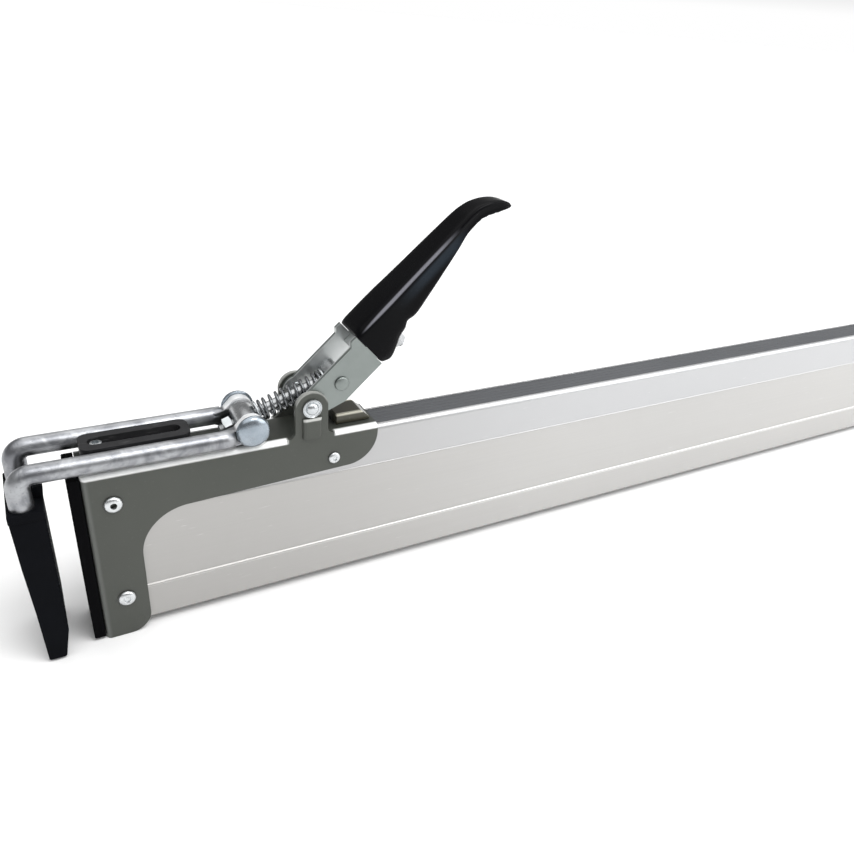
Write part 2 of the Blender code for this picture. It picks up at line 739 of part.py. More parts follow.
def build_grip():
    stations = [0.0453, 0.0485, 0.0507, 0.055, 0.059, 0.063, 0.069, 0.0725, 0.0775, 0.0850, 0.0950,
                0.106, 0.115, 0.121, 0.127, 0.132, 0.136, 0.1405, 0.146, 0.1495, 0.1545, 0.1590, 0.1612]
    around = 20
    mesh = bpy.data.meshes.new("grip")
    shape = bmesh.new()
    rings = []
    for s in stations:
        top, low, wide = grip_station(s)
        middle = (top + low) / 2
        tall = (top - low) / 2
        ring = []
        for k in range(around):
            turn = 2 * math.pi * (k + 0.5) / around
            # a rounded rectangle: the powers flatten the circle's four sides
            across = math.copysign(abs(math.cos(turn)) ** 0.55, math.cos(turn)) * wide
            rise = math.copysign(abs(math.sin(turn)) ** 0.55, math.sin(turn)) * tall
            ring.append(shape.verts.new((s, across, middle + rise)))
        rings.append(ring)
    for first, second in zip(rings, rings[1:]):
        for k in range(around):
            after = (k + 1) % around
            shape.faces.new((first[k], first[after], second[after], second[k]))
    shape.faces.new(list(reversed(rings[0])))
    shape.faces.new(rings[-1])
    bmesh.ops.recalc_face_normals(shape, faces=shape.faces)
    shape.to_mesh(mesh)
    shape.free()
    item = mesh_object("grip", mesh, collection)
    item.matrix_world = lever_place
    gap = fit_gap
    tongue = cheek_length + cheek_tongue
    for side, word in ((front, "front"), (back, "back")):
        inner = half_width - cheek_thickness - gap
        outer = half_width + gap
        low = min(side * inner, side * outer)
        high = max(side * inner, side * outer)
        pocket = box("grip_pocket_" + word, (cheek_length - 0.01, low, tongue_low - gap),
                     (tongue + gap, high, tongue_high + gap), cutters, lever_place)
        boolean(item, pocket)
    half = half_width - cheek_thickness
    pocket = box("grip_pocket_bridge", (cheek_length - 0.01, -half, -0.0020 - gap),
                 (cheek_length + 0.0100 + gap, half, 0.0005 + gap), cutters, lever_place)
    boolean(item, pocket)
    hole = rod("grip_screw_hole", 0.0020 + gap, lever_place @ Vector((grip_screw_s, 0, -0.030)),
               lever_place @ Vector((grip_screw_s, 0, -0.0075)), cutters, 20)
    boolean(item, hole)
    face = rod("grip_screw_face", grip_screw_head + gap, lever_place @ Vector((grip_screw_s, 0, -0.030)),
               lever_place @ Vector((grip_screw_s, 0, -grip_screw_seat + gap)), cutters, 24)
    boolean(item, face)
    finish(item, plastic, sharp=50)


def build_grip_screw():
    seat = grip_screw_seat
    head = grip_screw_head
    profile = [(0.0, seat + 0.0086), (0.0018, seat + 0.0086), (0.0021, seat + 0.0083),
               (0.0021, seat + 0.0062),
               (head - 0.0008, seat + 0.0062), (head - 0.0004, seat + 0.0056), (head - 0.0004, seat + 0.0012),
               (head, seat + 0.0010), (head, seat), (0.0020, seat), (0.0020, 0.0080), (0.0, 0.0080)]
    place = lever_place @ Matrix.Translation((grip_screw_s, 0, 0)) @ Matrix.Rotation(math.pi, 4, "X")
    item = turned_solid("grip_screw", profile, collection, place, 24)
    finish(item, zinc)


clear_scene()
build_beam()
build_strip()
build_bracket()
build_end_pad()
build_rivets()
build_pivots()
build_stop_block()
build_guide_screw()
build_guide_plate()
build_bars()
build_shoe()
build_trunnion()
build_draw_rod()
build_spring()
build_nut()
build_cheeks()
build_bridge()
build_grip()
build_grip_screw()
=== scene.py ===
import json
import math

import bmesh
import bpy
from mathutils import Matrix, Vector, noise


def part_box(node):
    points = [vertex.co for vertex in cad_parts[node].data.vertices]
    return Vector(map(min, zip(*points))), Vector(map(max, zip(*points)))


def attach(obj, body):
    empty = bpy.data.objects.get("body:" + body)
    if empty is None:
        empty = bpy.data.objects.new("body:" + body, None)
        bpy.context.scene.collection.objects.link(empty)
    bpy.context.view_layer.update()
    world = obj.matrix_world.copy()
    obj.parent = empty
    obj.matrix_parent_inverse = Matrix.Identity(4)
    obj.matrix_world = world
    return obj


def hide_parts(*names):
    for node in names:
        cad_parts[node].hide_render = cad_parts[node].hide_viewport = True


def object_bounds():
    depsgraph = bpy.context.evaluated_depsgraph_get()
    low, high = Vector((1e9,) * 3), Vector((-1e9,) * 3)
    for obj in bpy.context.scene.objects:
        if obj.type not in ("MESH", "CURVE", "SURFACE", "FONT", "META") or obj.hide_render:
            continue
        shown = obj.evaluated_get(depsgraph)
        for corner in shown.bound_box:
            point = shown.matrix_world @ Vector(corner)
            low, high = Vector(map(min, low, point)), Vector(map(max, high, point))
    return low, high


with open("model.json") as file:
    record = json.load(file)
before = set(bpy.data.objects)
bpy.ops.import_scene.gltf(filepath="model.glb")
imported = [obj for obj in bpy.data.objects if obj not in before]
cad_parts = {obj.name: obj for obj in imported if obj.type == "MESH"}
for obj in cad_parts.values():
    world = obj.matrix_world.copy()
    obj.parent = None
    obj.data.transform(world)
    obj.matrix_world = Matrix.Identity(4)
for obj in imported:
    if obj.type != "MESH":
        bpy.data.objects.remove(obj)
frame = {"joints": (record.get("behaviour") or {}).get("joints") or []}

# Clamp-on guide rail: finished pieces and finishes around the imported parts.
# X runs along the rail, Y from its front face to its back, Z up. Metres.

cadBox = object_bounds()
joints = {joint["name"]: joint for joint in frame["joints"]}
pivot = Vector(joints["lever_opening"]["pos_m"])
trunnion = Vector(joints["rod_swing"]["pos_m"])
rodDirection = Vector(joints["nut_turn"]["axis"]).normalized()
front = -1
back = 1


def middleOf(node):
    low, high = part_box(node)
    return (low + high) / 2


linkPin = Vector((middleOf("link_rivet_front").x, 0.0, middleOf("link_rivet_front").z))
leverAngle = math.radians(42.6)
leverPlace = Matrix.Translation(pivot) @ Matrix.Rotation(-leverAngle, 4, "Y")
rodSlope = math.atan2(rodDirection.z, rodDirection.x)
rodPlace = Matrix.Translation(trunnion) @ Matrix.Rotation(math.pi / 2 - rodSlope, 4, "Y")
rodLength = (linkPin - trunnion).length
sideView = Matrix.Rotation(math.pi / 2, 4, "X")


class Sock:
    # one output socket; sums and products of these read as plain maths
    def __init__(self, finish, socket):
        self.finish = finish
        self.socket = socket

    def maths(self, kind, first, second=0.0, clamp=False):
        settings = {"operation": kind, "use_clamp": clamp}
        return self.finish.node("ShaderNodeMath", settings, {0: first, 1: second})

    def __add__(self, other):
        return self.maths("ADD", self, other)

    def __radd__(self, other):
        return self.maths("ADD", other, self)

    def __sub__(self, other):
        return self.maths("SUBTRACT", self, other)

    def __rsub__(self, other):
        return self.maths("SUBTRACT", other, self)

    def __mul__(self, other):
        return self.maths("MULTIPLY", self, other)

    def __abs__(self):
        return self.maths("ABSOLUTE", self)

    def clamped(self):
        return self.maths("ADD", self, 0.0, True)

    def over(self, low, high):
        # 0 below low, 1 above high, smooth between
        settings = {"interpolation_type": "SMOOTHSTEP"}
        values = {"Value": self, "From Min": low, "From Max": high, "To Min": 0.0, "To Max": 1.0}
        return self.finish.node("ShaderNodeMapRange", settings, values)


class Finish:
    # one material: textures are read from the object's own coordinates
    def __init__(self, name, **fixed):
        self.material = bpy.data.materials.new(name)
        self.material.use_nodes = True
        self.tree = self.material.node_tree
        self.shader = self.tree.nodes["Principled BSDF"]
        for socket, value in fixed.items():
            self.shader.inputs[socket.replace("_", " ")].default_value = value
        self.place = self.node("ShaderNodeTexCoord", {}, {}, "Object")

    def node(self, kind, settings, values, output=0):
        made = self.tree.nodes.new(kind)
        for key, value in settings.items():
            setattr(made, key, value)
        for key, value in values.items():
            if isinstance(value, Sock):
                self.tree.links.new(value.socket, made.inputs[key])
            else:
                made.inputs[key].default_value = value
        return Sock(self, made.outputs[output])

    def moved(self, scale=(1, 1, 1), turn=(0, 0, 0), at=(0, 0, 0)):
        return self.node("ShaderNodeMapping", {}, {"Vector": self.place, "Location": at,
                                                   "Rotation": turn, "Scale": scale})

    def grain(self, scale, detail=3.0, rough=0.5, at=None, twist=0.0):
        values = {"Vector": at or self.place, "Scale": scale, "Detail": detail,
                  "Roughness": rough, "Distortion": twist}
        return self.node("ShaderNodeTexNoise", {}, values)

    def cells(self, scale, at=None, feature="F1"):
        return self.node("ShaderNodeTexVoronoi", {"feature": feature},
                         {"Vector": at or self.place, "Scale": scale})

    def axis(self, letter):
        return self.node("ShaderNodeSeparateXYZ", {}, {0: self.place}, letter)

    def blend(self, factor, first, second):
        # colours go through Mix; its colour sockets are numbers 6 and 7
        return self.node("ShaderNodeMix", {"data_type": "RGBA"},
                         {0: factor, 6: self.full(first), 7: self.full(second)}, 2)

    def full(self, colour):
        return colour if isinstance(colour, Sock) else (*colour, 1.0)

    def bump(self, height, strength, distance):
        return self.node("ShaderNodeBump", {}, {"Strength": strength, "Distance": distance,
                                                "Height": height})

    def wear(self, **varying):
        for socket, value in varying.items():
            self.tree.links.new(value.socket, self.shader.inputs[socket.replace("_", " ")])
        return self.material


print("finishes")


def railAluminium():
    look = Finish("drawn aluminium", Metallic=1.0)
    streaks = look.grain(1.0, 4.0, 0.6, look.moved((6, 900, 900)))
    fine = look.grain(1.0, 2.0, 0.5, look.moved((30, 4200, 4200)))
    patches = look.grain(7.0, 3.0, 0.5, look.moved((0.5, 1, 2)))
    scratch = look.grain(1.0, 2.0, 0.4, look.moved((90, 10, 700), (0, 0.12, 0))).over(0.70, 0.78)
    height = look.axis("Z")
    upperBand = height.over(0.0228, 0.0240)     # drawn cooler in tone above the upper step
    base = look.blend(streaks, (0.49, 0.482, 0.468), (0.565, 0.558, 0.546))
    base = look.blend(patches * 0.5, base, (0.52, 0.52, 0.515))
    base = look.blend(upperBand * 0.6, base, (0.54, 0.55, 0.57))
    handlingWearAndShade = 1 - look.axis("X").over(0.06, 0.34)    # painted shade: greyer and darker towards the clamp end, where less light falls
    base = look.blend(handlingWearAndShade * 0.42, base, (0.32, 0.31, 0.298))
    base = look.blend(scratch * 0.25, base, (0.80, 0.80, 0.80))
    rough = 0.32 + streaks * 0.10 + patches * 0.08 + scratch * 0.06
    relief = streaks * 0.6 + fine * 0.4
    return look.wear(Base_Color=base, Roughness=rough, Normal=look.bump(relief, 0.22, 0.00012))


def topStrip():
    look = Finish("dark strip", Metallic=0.0, Specular_IOR_Level=0.4)
    pores = look.grain(900.0, 2.0)
    dust = look.grain(35.0, 4.0, 0.6, look.moved((0.25, 1, 1)))
    base = look.blend(dust, (0.060, 0.063, 0.068), (0.105, 0.110, 0.118))
    return look.wear(Base_Color=base, Roughness=0.50 + dust * 0.16,
                     Normal=look.bump(pores, 0.30, 0.0001))


def bracketCoat():
    look = Finish("olive grey coat", Coat_Roughness=0.25)
    cloud = look.grain(18.0, 3.0, 0.55)
    peel = look.grain(520.0, 2.0)
    speck = look.cells(260.0).over(0.05, 0.16)
    rubAndHighlightNoise = look.grain(140.0, 4.0, 0.7)
    height = look.axis("Z")
    depth = abs(look.axis("Y"))
    along = look.axis("X")
    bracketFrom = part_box("end_bracket")[0].x
    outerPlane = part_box("end_bracket")[1].y - 0.0020
    # painted highlights: a near-white band along the top bends, and a lighter band down the end bend
    lug = abs(along - pivot.x).over(0.0130, 0.0150)
    paintedBendHighlight = height.over(0.0498, 0.0510) * depth.over(0.0112, 0.0128) * lug
    paintedBendHighlight = paintedBendHighlight * (0.75 + rubAndHighlightNoise * 0.4).clamped()
    # painted highlights on the lug's round top and on the boss's upper front
    across = along - pivot.x
    rise = height - pivot.z
    paintedLugHighlight = (across * across + rise * rise).over(0.0086 ** 2, 0.0096 ** 2) * rise.over(0.001, 0.005)
    paintedBossHighlight = rise.over(-0.0078, -0.0066) * depth.over(outerPlane + 0.0006, outerPlane + 0.0014)
    paintedLugAndBossHighlights = (paintedLugHighlight * 0.40 + paintedBossHighlight * 0.75).clamped()
    paintedEndBendHighlight = (1 - along.over(bracketFrom + 0.0008, bracketFrom + 0.0038)) * depth.over(0.0110, 0.0140)
    base = look.blend(cloud, (0.048, 0.053, 0.045), (0.066, 0.070, 0.060))
    base = look.blend((1 - speck) * 0.20, base, (0.10, 0.105, 0.095))
    base = look.blend(paintedEndBendHighlight * 0.40, base, (0.24, 0.25, 0.24))
    base = look.blend(paintedBendHighlight, base, (0.95, 0.96, 0.95))
    base = look.blend(paintedLugAndBossHighlights, base, (0.70, 0.71, 0.68))
    rough = 0.44 + cloud * 0.10 - paintedBendHighlight * 0.14
    metal = 0.25 - paintedBendHighlight * 0.20
    return look.wear(Base_Color=base, Roughness=rough, Metallic=metal, Coat_Weight=0.12 + cloud * 0.10,
                     Normal=look.bump(peel, 0.12, 0.0001))


def brightZinc(name="bright zinc", tone=(0.70, 0.72, 0.73), dull=(0.42, 0.45, 0.47)):
    look = Finish(name, Metallic=1.0)
    cloud = look.grain(160.0, 3.0, 0.6)
    fine = look.grain(1500.0, 2.0)
    stain = look.grain(60.0, 4.0, 0.65).over(0.50, 0.72)
    base = look.blend(cloud, dull, tone)
    base = look.blend(stain * 0.4, base, (0.36, 0.37, 0.36))
    rough = 0.20 + cloud * 0.12 + stain * 0.14
    return look.wear(Base_Color=base, Roughness=rough, Normal=look.bump(fine, 0.16, 0.0001))


def rivetZinc():
    look = Finish("rivet zinc", Metallic=1.0)
    cloud = look.grain(300.0, 4.0, 0.6)
    nick = look.grain(1500.0, 3.0).over(0.62, 0.74)
    foot = -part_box("rivet_front_upper")[0].y - 0.0024      # where the heads meet the bracket
    # painted shade: near black deep in the open rivets' holes and round the feet of the heads
    paintedHoleShade = 1 - abs(look.axis("Y")).over(foot + 0.0003, foot + 0.0010)
    base = look.blend(cloud, (0.50, 0.52, 0.53), (0.80, 0.82, 0.83))
    base = look.blend(nick * 0.3, base, (0.25, 0.26, 0.27))
    base = look.blend(paintedHoleShade * 0.92, base, (0.015, 0.015, 0.017))
    return look.wear(Base_Color=base, Roughness=0.22 + cloud * 0.14 + paintedHoleShade * 0.25,
                     Normal=look.bump(cloud * 0.7 - nick * 0.5, 0.25, 0.0002))


def cheekZinc():
    look = Finish("passivated sheet", Metallic=1.0)
    cloud = look.grain(45.0, 4.0, 0.6)
    roll = look.grain(1.0, 3.0, 0.5, look.moved((90, 800, 90), (0, leverAngle, 0)))
    fine = look.grain(1200.0, 2.0)
    edge = look.cells(240.0, feature="DISTANCE_TO_EDGE").over(0.0, 0.10)
    base = look.blend(cloud, (0.18, 0.205, 0.195), (0.275, 0.30, 0.29))
    base = look.blend(roll * 0.35, base, (0.35, 0.375, 0.365))
    base = look.blend((1 - edge) * 0.10, base, (0.25, 0.27, 0.26))
    inside = 1 - abs(look.axis("Y")).over(0.0102, 0.0112)   # painted light: the cheeks' inner faces made near white
    base = look.blend(inside * 0.75, base, (0.84, 0.86, 0.86))
    rough = 0.36 + cloud * 0.14
    return look.wear(Base_Color=base, Roughness=rough,
                     Normal=look.bump(fine * 0.5 + roll * 0.5, 0.16, 0.0001))


def galvanisedBar():
    look = Finish("galvanised bar")
    spangle = look.cells(170.0)
    cloud = look.grain(70.0, 4.0, 0.65, None, 0.6)
    runs = look.grain(1.0, 3.0, 0.6, look.moved((60, 420, 260)))
    pits = look.grain(700.0, 3.0).over(0.60, 0.74)
    base = look.blend(cloud.over(0.36, 0.64), (0.20, 0.205, 0.22), (0.44, 0.45, 0.465))
    base = look.blend(spangle * 0.35, base, (0.34, 0.35, 0.37))
    base = look.blend(pits * 0.30, base, (0.14, 0.145, 0.15))
    crown = look.axis("Z").over(trunnion.z + 0.0012, trunnion.z + 0.0026)   # painted highlight: the upper part of each bar made near white
    crown = crown * (0.65 + cloud * 0.6).clamped()
    base = look.blend(crown, base, (0.93, 0.94, 0.95))
    rough = 0.30 + cloud * 0.14 + pits * 0.10
    height = cloud * 0.6 + runs * 0.4 - pits * 0.5
    return look.wear(Base_Color=base, Roughness=rough, Metallic=1 - crown * 0.65,
                     Normal=look.bump(height, 0.35, 0.0003))


def blackenedSteel():
    look = Finish("blackened steel", Metallic=0.2, Specular_IOR_Level=0.3)
    cloud = look.grain(120.0, 3.0)
    rubAndHighlightNoise = look.grain(1.0, 4.0, 0.6, look.moved((90, 700, 700))).over(0.58, 0.76)
    base = look.blend(cloud, (0.010, 0.010, 0.011), (0.030, 0.030, 0.032))
    base = look.blend(rubAndHighlightNoise * 0.4, base, (0.16, 0.16, 0.16))
    return look.wear(Base_Color=base, Roughness=0.32 + cloud * 0.14,
                     Normal=look.bump(look.grain(900.0), 0.18, 0.0001))


def blockCoat():
    look = Finish("stop block coat", Metallic=0.2, Coat_Roughness=0.16)
    cloud = look.grain(70.0, 3.0)
    chip = look.grain(260.0, 4.0, 0.7).over(0.62, 0.72)
    base = look.blend(cloud, (0.026, 0.025, 0.014), (0.052, 0.049, 0.030))
    base = look.blend(chip * 0.4, base, (0.20, 0.19, 0.15))
    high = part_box("stop_block")[1]      # painted highlight in cream along the block's top long edges
    topEdge = look.axis("Z").over(high.z - 0.0016, high.z - 0.0006)
    paintedEdgeHighlight = topEdge * abs(look.axis("Y")).over(high.y - 0.0022, high.y - 0.0010)
    base = look.blend(paintedEdgeHighlight * (0.6 + cloud * 0.4), base, (0.62, 0.60, 0.50))
    return look.wear(Base_Color=base, Roughness=0.30 + cloud * 0.12, Coat_Weight=0.5 - chip * 0.3,
                     Normal=look.bump(look.grain(500.0), 0.15, 0.0001))


def blackRubber(name, tone):
    look = Finish(name, Metallic=0.0, Specular_IOR_Level=0.03)
    pores = look.grain(1400.0, 3.0, 0.6)
    cloud = look.grain(55.0, 4.0, 0.6)
    scuff = look.grain(1.0, 4.0, 0.7, look.moved((260, 260, 60))).over(0.60, 0.74)
    light = tuple(value * 2.1 for value in tone)
    base = look.blend(cloud, tone, light)
    base = look.blend(scuff * 0.30, base, (0.012, 0.0125, 0.014))
    rough = 0.50 + cloud * 0.18 + scuff * 0.12
    return look.wear(Base_Color=base, Roughness=rough,
                     Normal=look.bump(pores * 0.6 + cloud * 0.4, 0.30, 0.00015))


def gripPlastic():
    look = Finish("gloss black moulding", Metallic=0.0, Specular_IOR_Level=0.05, Coat_Roughness=0.12)
    cloud = look.grain(40.0, 3.0)
    spark = look.grain(900.0, 2.0)
    handlingWearAndShade = look.grain(26.0, 4.0, 0.6).over(0.42, 0.70)
    hairs = look.grain(1.0, 3.0, 0.5, look.moved((50, 500, 900), (0, leverAngle, 0))).over(0.66, 0.76)
    base = look.blend(cloud, (0.0020, 0.0020, 0.0024), (0.0042, 0.0044, 0.0052))
    base = look.blend(hairs * 0.20, base, (0.012, 0.012, 0.014))
    # the lever's own length and height, to place a painted highlight along the long upper edges and a painted
    # bluish sheen on the flanks
    across, rise = look.axis("X") - pivot.x, look.axis("Z") - pivot.z
    out = across * math.cos(leverAngle) + rise * math.sin(leverAngle)
    up = rise * math.cos(leverAngle) - across * math.sin(leverAngle)
    below = 0.0111 - out * 0.0104 - up
    inward = 0.0164 - out * 0.0533 - abs(look.axis("Y"))
    paintedEdgeHighlight = below.over(0.0003, 0.0010) * (1 - below.over(0.0016, 0.0025)) * (1 - inward.over(0.0009, 0.0020))
    paintedEdgeHighlight = paintedEdgeHighlight * out.over(0.047, 0.054) * (1 - out.over(0.108, 0.130)) * (0.7 + cloud * 0.6)
    paintedFlankSheen = below.over(0.0024, 0.0050) * (1 - below.over(0.0070, 0.0120)) * (1 - inward.over(0.0030, 0.0050))
    paintedFlankSheen = paintedFlankSheen * out.over(0.070, 0.100) * (1 - out.over(0.118, 0.134))
    base = look.blend(paintedFlankSheen * 0.8, base, (0.020, 0.027, 0.036))
    base = look.blend(paintedEdgeHighlight.clamped(), base, (0.19, 0.19, 0.215))
    rough = 0.20 + handlingWearAndShade * 0.10 + hairs * 0.10
    return look.wear(Base_Color=base, Roughness=rough, Coat_Weight=0.03 - handlingWearAndShade * 0.02,
                     Normal=look.bump(spark * 0.3 + cloud * 0.7, 0.10, 0.0002))


def paleFloor():
    look = Finish("pale floor", Metallic=0.0, Specular_IOR_Level=0.1)
    cloud = look.grain(1.5, 3.0)
    fine = look.grain(90.0, 3.0)
    base = look.blend(cloud, (0.88, 0.88, 0.88), (0.92, 0.92, 0.92))
    return look.wear(Base_Color=base, Roughness=0.75 + fine * 0.1)


looks = {
    "rail": railAluminium(), "strip": topStrip(), "coat": bracketCoat(), "zinc": brightZinc(),
    "cheek": cheekZinc(), "bar": galvanisedBar(), "black": blackenedSteel(), "block": blockCoat(),
    "capZinc": brightZinc("cap zinc", (0.44, 0.49, 0.54), (0.22, 0.26, 0.30)),
    "rivetZinc": rivetZinc(),
    "shoe": blackRubber("shoe rubber", (0.0026, 0.0029, 0.0038)),
    "pad": blackRubber("pad rubber", (0.0012, 0.0012, 0.0015)), "grip": gripPlastic(),
    "spring": brightZinc("spring wire", (0.26, 0.27, 0.28), (0.10, 0.105, 0.11)),
    "dullZinc": brightZinc("dull zinc", (0.60, 0.61, 0.62), (0.36, 0.37, 0.38)),
}


def linked(name, data):
    item = bpy.data.objects.new(name, data)
    bpy.context.scene.collection.objects.link(item)
    return item


def fromShape(name, shape):
    # a bmesh becomes an object at the origin, doubles merged and faces outwards
    bmesh.ops.remove_doubles(shape, verts=shape.verts, dist=0.000004)
    bmesh.ops.recalc_face_normals(shape, faces=shape.faces)
    mesh = bpy.data.meshes.new(name)
    shape.to_mesh(mesh)
    shape.free()
    mesh.shade_smooth()
    return linked(name, mesh)


def settled(item, merge=True):
    # curves and modifiers end up as one plain mesh, its place in its vertices
    bpy.context.view_layer.update()
    graph = bpy.context.evaluated_depsgraph_get()
    mesh = bpy.data.meshes.new_from_object(item.evaluated_get(graph), depsgraph=graph)
    mesh.transform(item.matrix_world)
    name = item.name
    bpy.data.objects.remove(item, do_unlink=True)
    if not merge:
        mesh.name = name
        return linked(name, mesh)
    shape = bmesh.new()
    shape.from_mesh(mesh)
    bpy.data.meshes.remove(mesh)
    return fromShape(name, shape)


def arc(centre, radius, start, end, count):
    points = []
    for step in range(count + 1):
        turn = math.radians(start + (end - start) * step / count)
        points.append((centre[0] + radius * math.cos(turn), centre[1] + radius * math.sin(turn)))
    return points


def outlineSolid(name, rings, thickness, place):
    # a flat outline, with any holes, given an even thickness about its own plane
    curve = bpy.data.curves.new(name, "CURVE")
    curve.dimensions = "2D"
    curve.fill_mode = "BOTH"
    curve.extrude = thickness / 2
    for ring in rings:
        spline = curve.splines.new("POLY")
        spline.points.add(len(ring) - 1)
        for point, (first, second) in zip(spline.points, ring):
            point.co = (first, second, 0.0, 1.0)
        spline.use_cyclic_u = True
    item = linked(name, curve)
    item.matrix_world = place
    return settled(item)


def turned(name, profile, place, steps=64, ring=False):
    # a profile of (radius, height), top to bottom, turned about its own Z
    shape = bmesh.new()
    rows = []
    for radius, height in profile:
        if radius < 1e-7:
            rows.append([shape.verts.new((0, 0, height))])
            continue
        rows.append([shape.verts.new((radius * math.cos(2 * math.pi * k / steps),
                                      radius * math.sin(2 * math.pi * k / steps), height))
                     for k in range(steps)])
    pairs = list(zip(rows, rows[1:]))
    if ring:
        pairs.append((rows[-1], rows[0]))
    for upper, lower in pairs:
        for k in range(steps):
            after = (k + 1) % steps
            if len(upper) == 1:
                shape.faces.new((upper[0], lower[k], lower[after]))
            elif len(lower) == 1:
                shape.faces.new((upper[k], lower[0], upper[after]))
            else:
                shape.faces.new((upper[k], lower[k], lower[after], upper[after]))
    bmesh.ops.transform(shape, matrix=place, verts=shape.verts)
    return fromShape(name, shape)


def roundBar(name, radius, start, end, sides=64):
    first, second = Vector(start), Vector(end)
    length = (second - first).length
    place = Matrix.Translation(first) @ (second - first).to_track_quat("Z", "Y").to_matrix().to_4x4()
    return turned(name, [(0, length), (radius, length), (radius, 0), (0, 0)], place, sides)


def sweptBar(name, points, radius, sides=12, swell=()):
    curve = bpy.data.curves.new(name, "CURVE")
    curve.dimensions = "3D"
    curve.bevel_depth = radius
    curve.bevel_resolution = sides
    curve.use_fill_caps = True
    spline = curve.splines.new("POLY")
    spline.points.add(len(points) - 1)
    for point, spot in zip(spline.points, points):
        point.co = (*spot, 1.0)
    for point, scale in zip(spline.points, swell):
        point.radius = scale
    return settled(linked(name, curve))


def block(name, low, high, place=Matrix()):
    shape = bmesh.new()
    bmesh.ops.create_cube(shape, size=1.0)
    bmesh.ops.scale(shape, vec=[b - a for a, b in zip(low, high)], verts=shape.verts)
    bmesh.ops.translate(shape, vec=[(a + b) / 2 for a, b in zip(low, high)], verts=shape.verts)
    bmesh.ops.transform(shape, matrix=place, verts=shape.verts)
    return fromShape(name, shape)


def cut(item, others, kind="DIFFERENCE"):
    for other in others:
        step = item.modifiers.new("Boolean", "BOOLEAN")
        step.operation = kind
        step.solver = "EXACT"
        step.object = other
    done = settled(item)
    for other in others:
        bpy.data.objects.remove(other, do_unlink=True)
    return done


def eased(item, width, segments=3, angle=32):
    # rounds every edge sharper than the angle and keeps flat faces flat
    step = item.modifiers.new("Edges", "BEVEL")
    step.width = width
    step.segments = segments
    step.limit_method = "ANGLE"
    step.angle_limit = math.radians(angle)
    step.use_clamp_overlap = True
    level = item.modifiers.new("Normals", "WEIGHTED_NORMAL")
    level.weight = 100
    level.keep_sharp = False
    return settled(item, merge=False)


def finished(item, body, look, replaced, sharp=None):
    # rides on its body, stands for its CAD nodes and takes its finish
    if sharp is not None:
        item.data.shade_smooth()
        item.data.set_sharp_from_angle(angle=math.radians(sharp))
    item.data.materials.clear()
    item.data.materials.append(looks[look])
    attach(item, body)
    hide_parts(*replaced)
    return item


def ofSide(side):
    return "front" if side == front else "back"


def facing(spot, outward):
    # turns a lathe's Z onto Y: -1 is towards the front
    return Matrix.Translation(spot) @ Matrix.Rotation(-outward * math.pi / 2, 4, "X")


class Tree:
    def __init__(self, name, inputs):
        self.group = bpy.data.node_groups.new(name, "GeometryNodeTree")
        face = self.group.interface
        face.new_socket(name="Geometry", in_out="INPUT", socket_type="NodeSocketGeometry")
        self.names = {}
        for label, (kind, value) in inputs.items():
            socket = face.new_socket(name=label, in_out="INPUT", socket_type="NodeSocket" + kind)
            if value is not None:
                socket.default_value = value
            self.names[label] = socket.identifier
        face.new_socket(name="Geometry", in_out="OUTPUT", socket_type="NodeSocketGeometry")
        self.source = self.group.nodes.new("NodeGroupInput")
        self.sink = self.group.nodes.new("NodeGroupOutput")

    def add(self, kind, settings, values):
        made = self.group.nodes.new(kind)
        for key, value in settings.items():
            setattr(made, key, value)
        for key, value in values.items():
            socket = made.inputs[key]
            if isinstance(value, bpy.types.NodeSocket):
                self.group.links.new(value, socket)
            else:
                socket.default_value = value
        return made

    def end(self, geometry, material):
        real = self.add("GeometryNodeRealizeInstances", {}, {"Geometry": geometry})
        dressed = self.add("GeometryNodeSetMaterial", {}, {"Geometry": real.outputs[0],
                                                            "Material": material})
        self.group.links.new(dressed.outputs[0], self.sink.inputs[0])

    def input(self, label):
        return self.source.outputs[label]

    def run(self, item, values, merge=True):
        step = item.modifiers.new("Tree", "NODES")
        step.node_group = self.group
        for label, value in values.items():
            step[self.names[label]] = value
        return settled(item, merge)


print("rail")

railMake = {
    "edgeRadius": 0.0035, "recess": 0.0006, "lowerStep": 0.0243, "upperStep": 0.0733,
    "stripWidth": 0.0180, "stripDepth": 0.0014, "wall": 0.0020, "lipLine": 0.00018,
    "innerRadius": 0.0008, "channels": 5, "channelPitch": 0.0035, "channelDepth": 0.0004,
}


def railProfile():
    low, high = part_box("beam")
    half = high.y
    soft = railMake["edgeRadius"]
    inset = half - railMake["recess"]
    groove = railMake["stripWidth"] / 2
    lower = low.z + railMake["lowerStep"]
    upper = low.z + railMake["upperStep"]
    line = railMake["lipLine"]
    side = [(half, lower - 0.0012), (half - line, lower - 0.0010), (half - line, lower - 0.0006),
            (half, lower - 0.0004), (half, lower), (inset, lower + railMake["recess"]),
            (inset, upper - railMake["recess"]), (half, upper), (half, upper + 0.0004),
            (half - line, upper + 0.0006), (half - line, upper + 0.0010), (half, upper + 0.0012)]
    outer = arc((half - soft, low.z + soft), soft, -90, 0, 12) + side
    outer += arc((half - soft, high.z - soft), soft, 0, 90, 12)
    outer += [(groove + 0.0002, high.z), (groove, high.z - 0.0002), (groove, high.z - railMake["stripDepth"])]
    outer += [(-first, second) for first, second in reversed(outer)]
    hollow = inset - railMake["wall"]
    rib = railMake["wall"] / 2
    levels = [(low.z + railMake["wall"], lower - rib), (lower + rib, upper - rib),
              (upper + rib, high.z - railMake["stripDepth"] - railMake["wall"])]
    rings = [outer]
    for bottom, top in levels:
        rings.append(roundedRing((-hollow, bottom), (hollow, top), railMake["innerRadius"], 4))
    return rings


def roundedRing(low, high, radius, count):
    # a rectangle with round corners, from its lower right one
    ring = []
    for x, y, start in ((high[0] - radius, low[1] + radius, -90), (high[0] - radius, high[1] - radius, 0),
                        (low[0] + radius, high[1] - radius, 90), (low[0] + radius, low[1] + radius, 180)):
        ring += arc((x, y), radius, start, start + 90, count)
    return ring


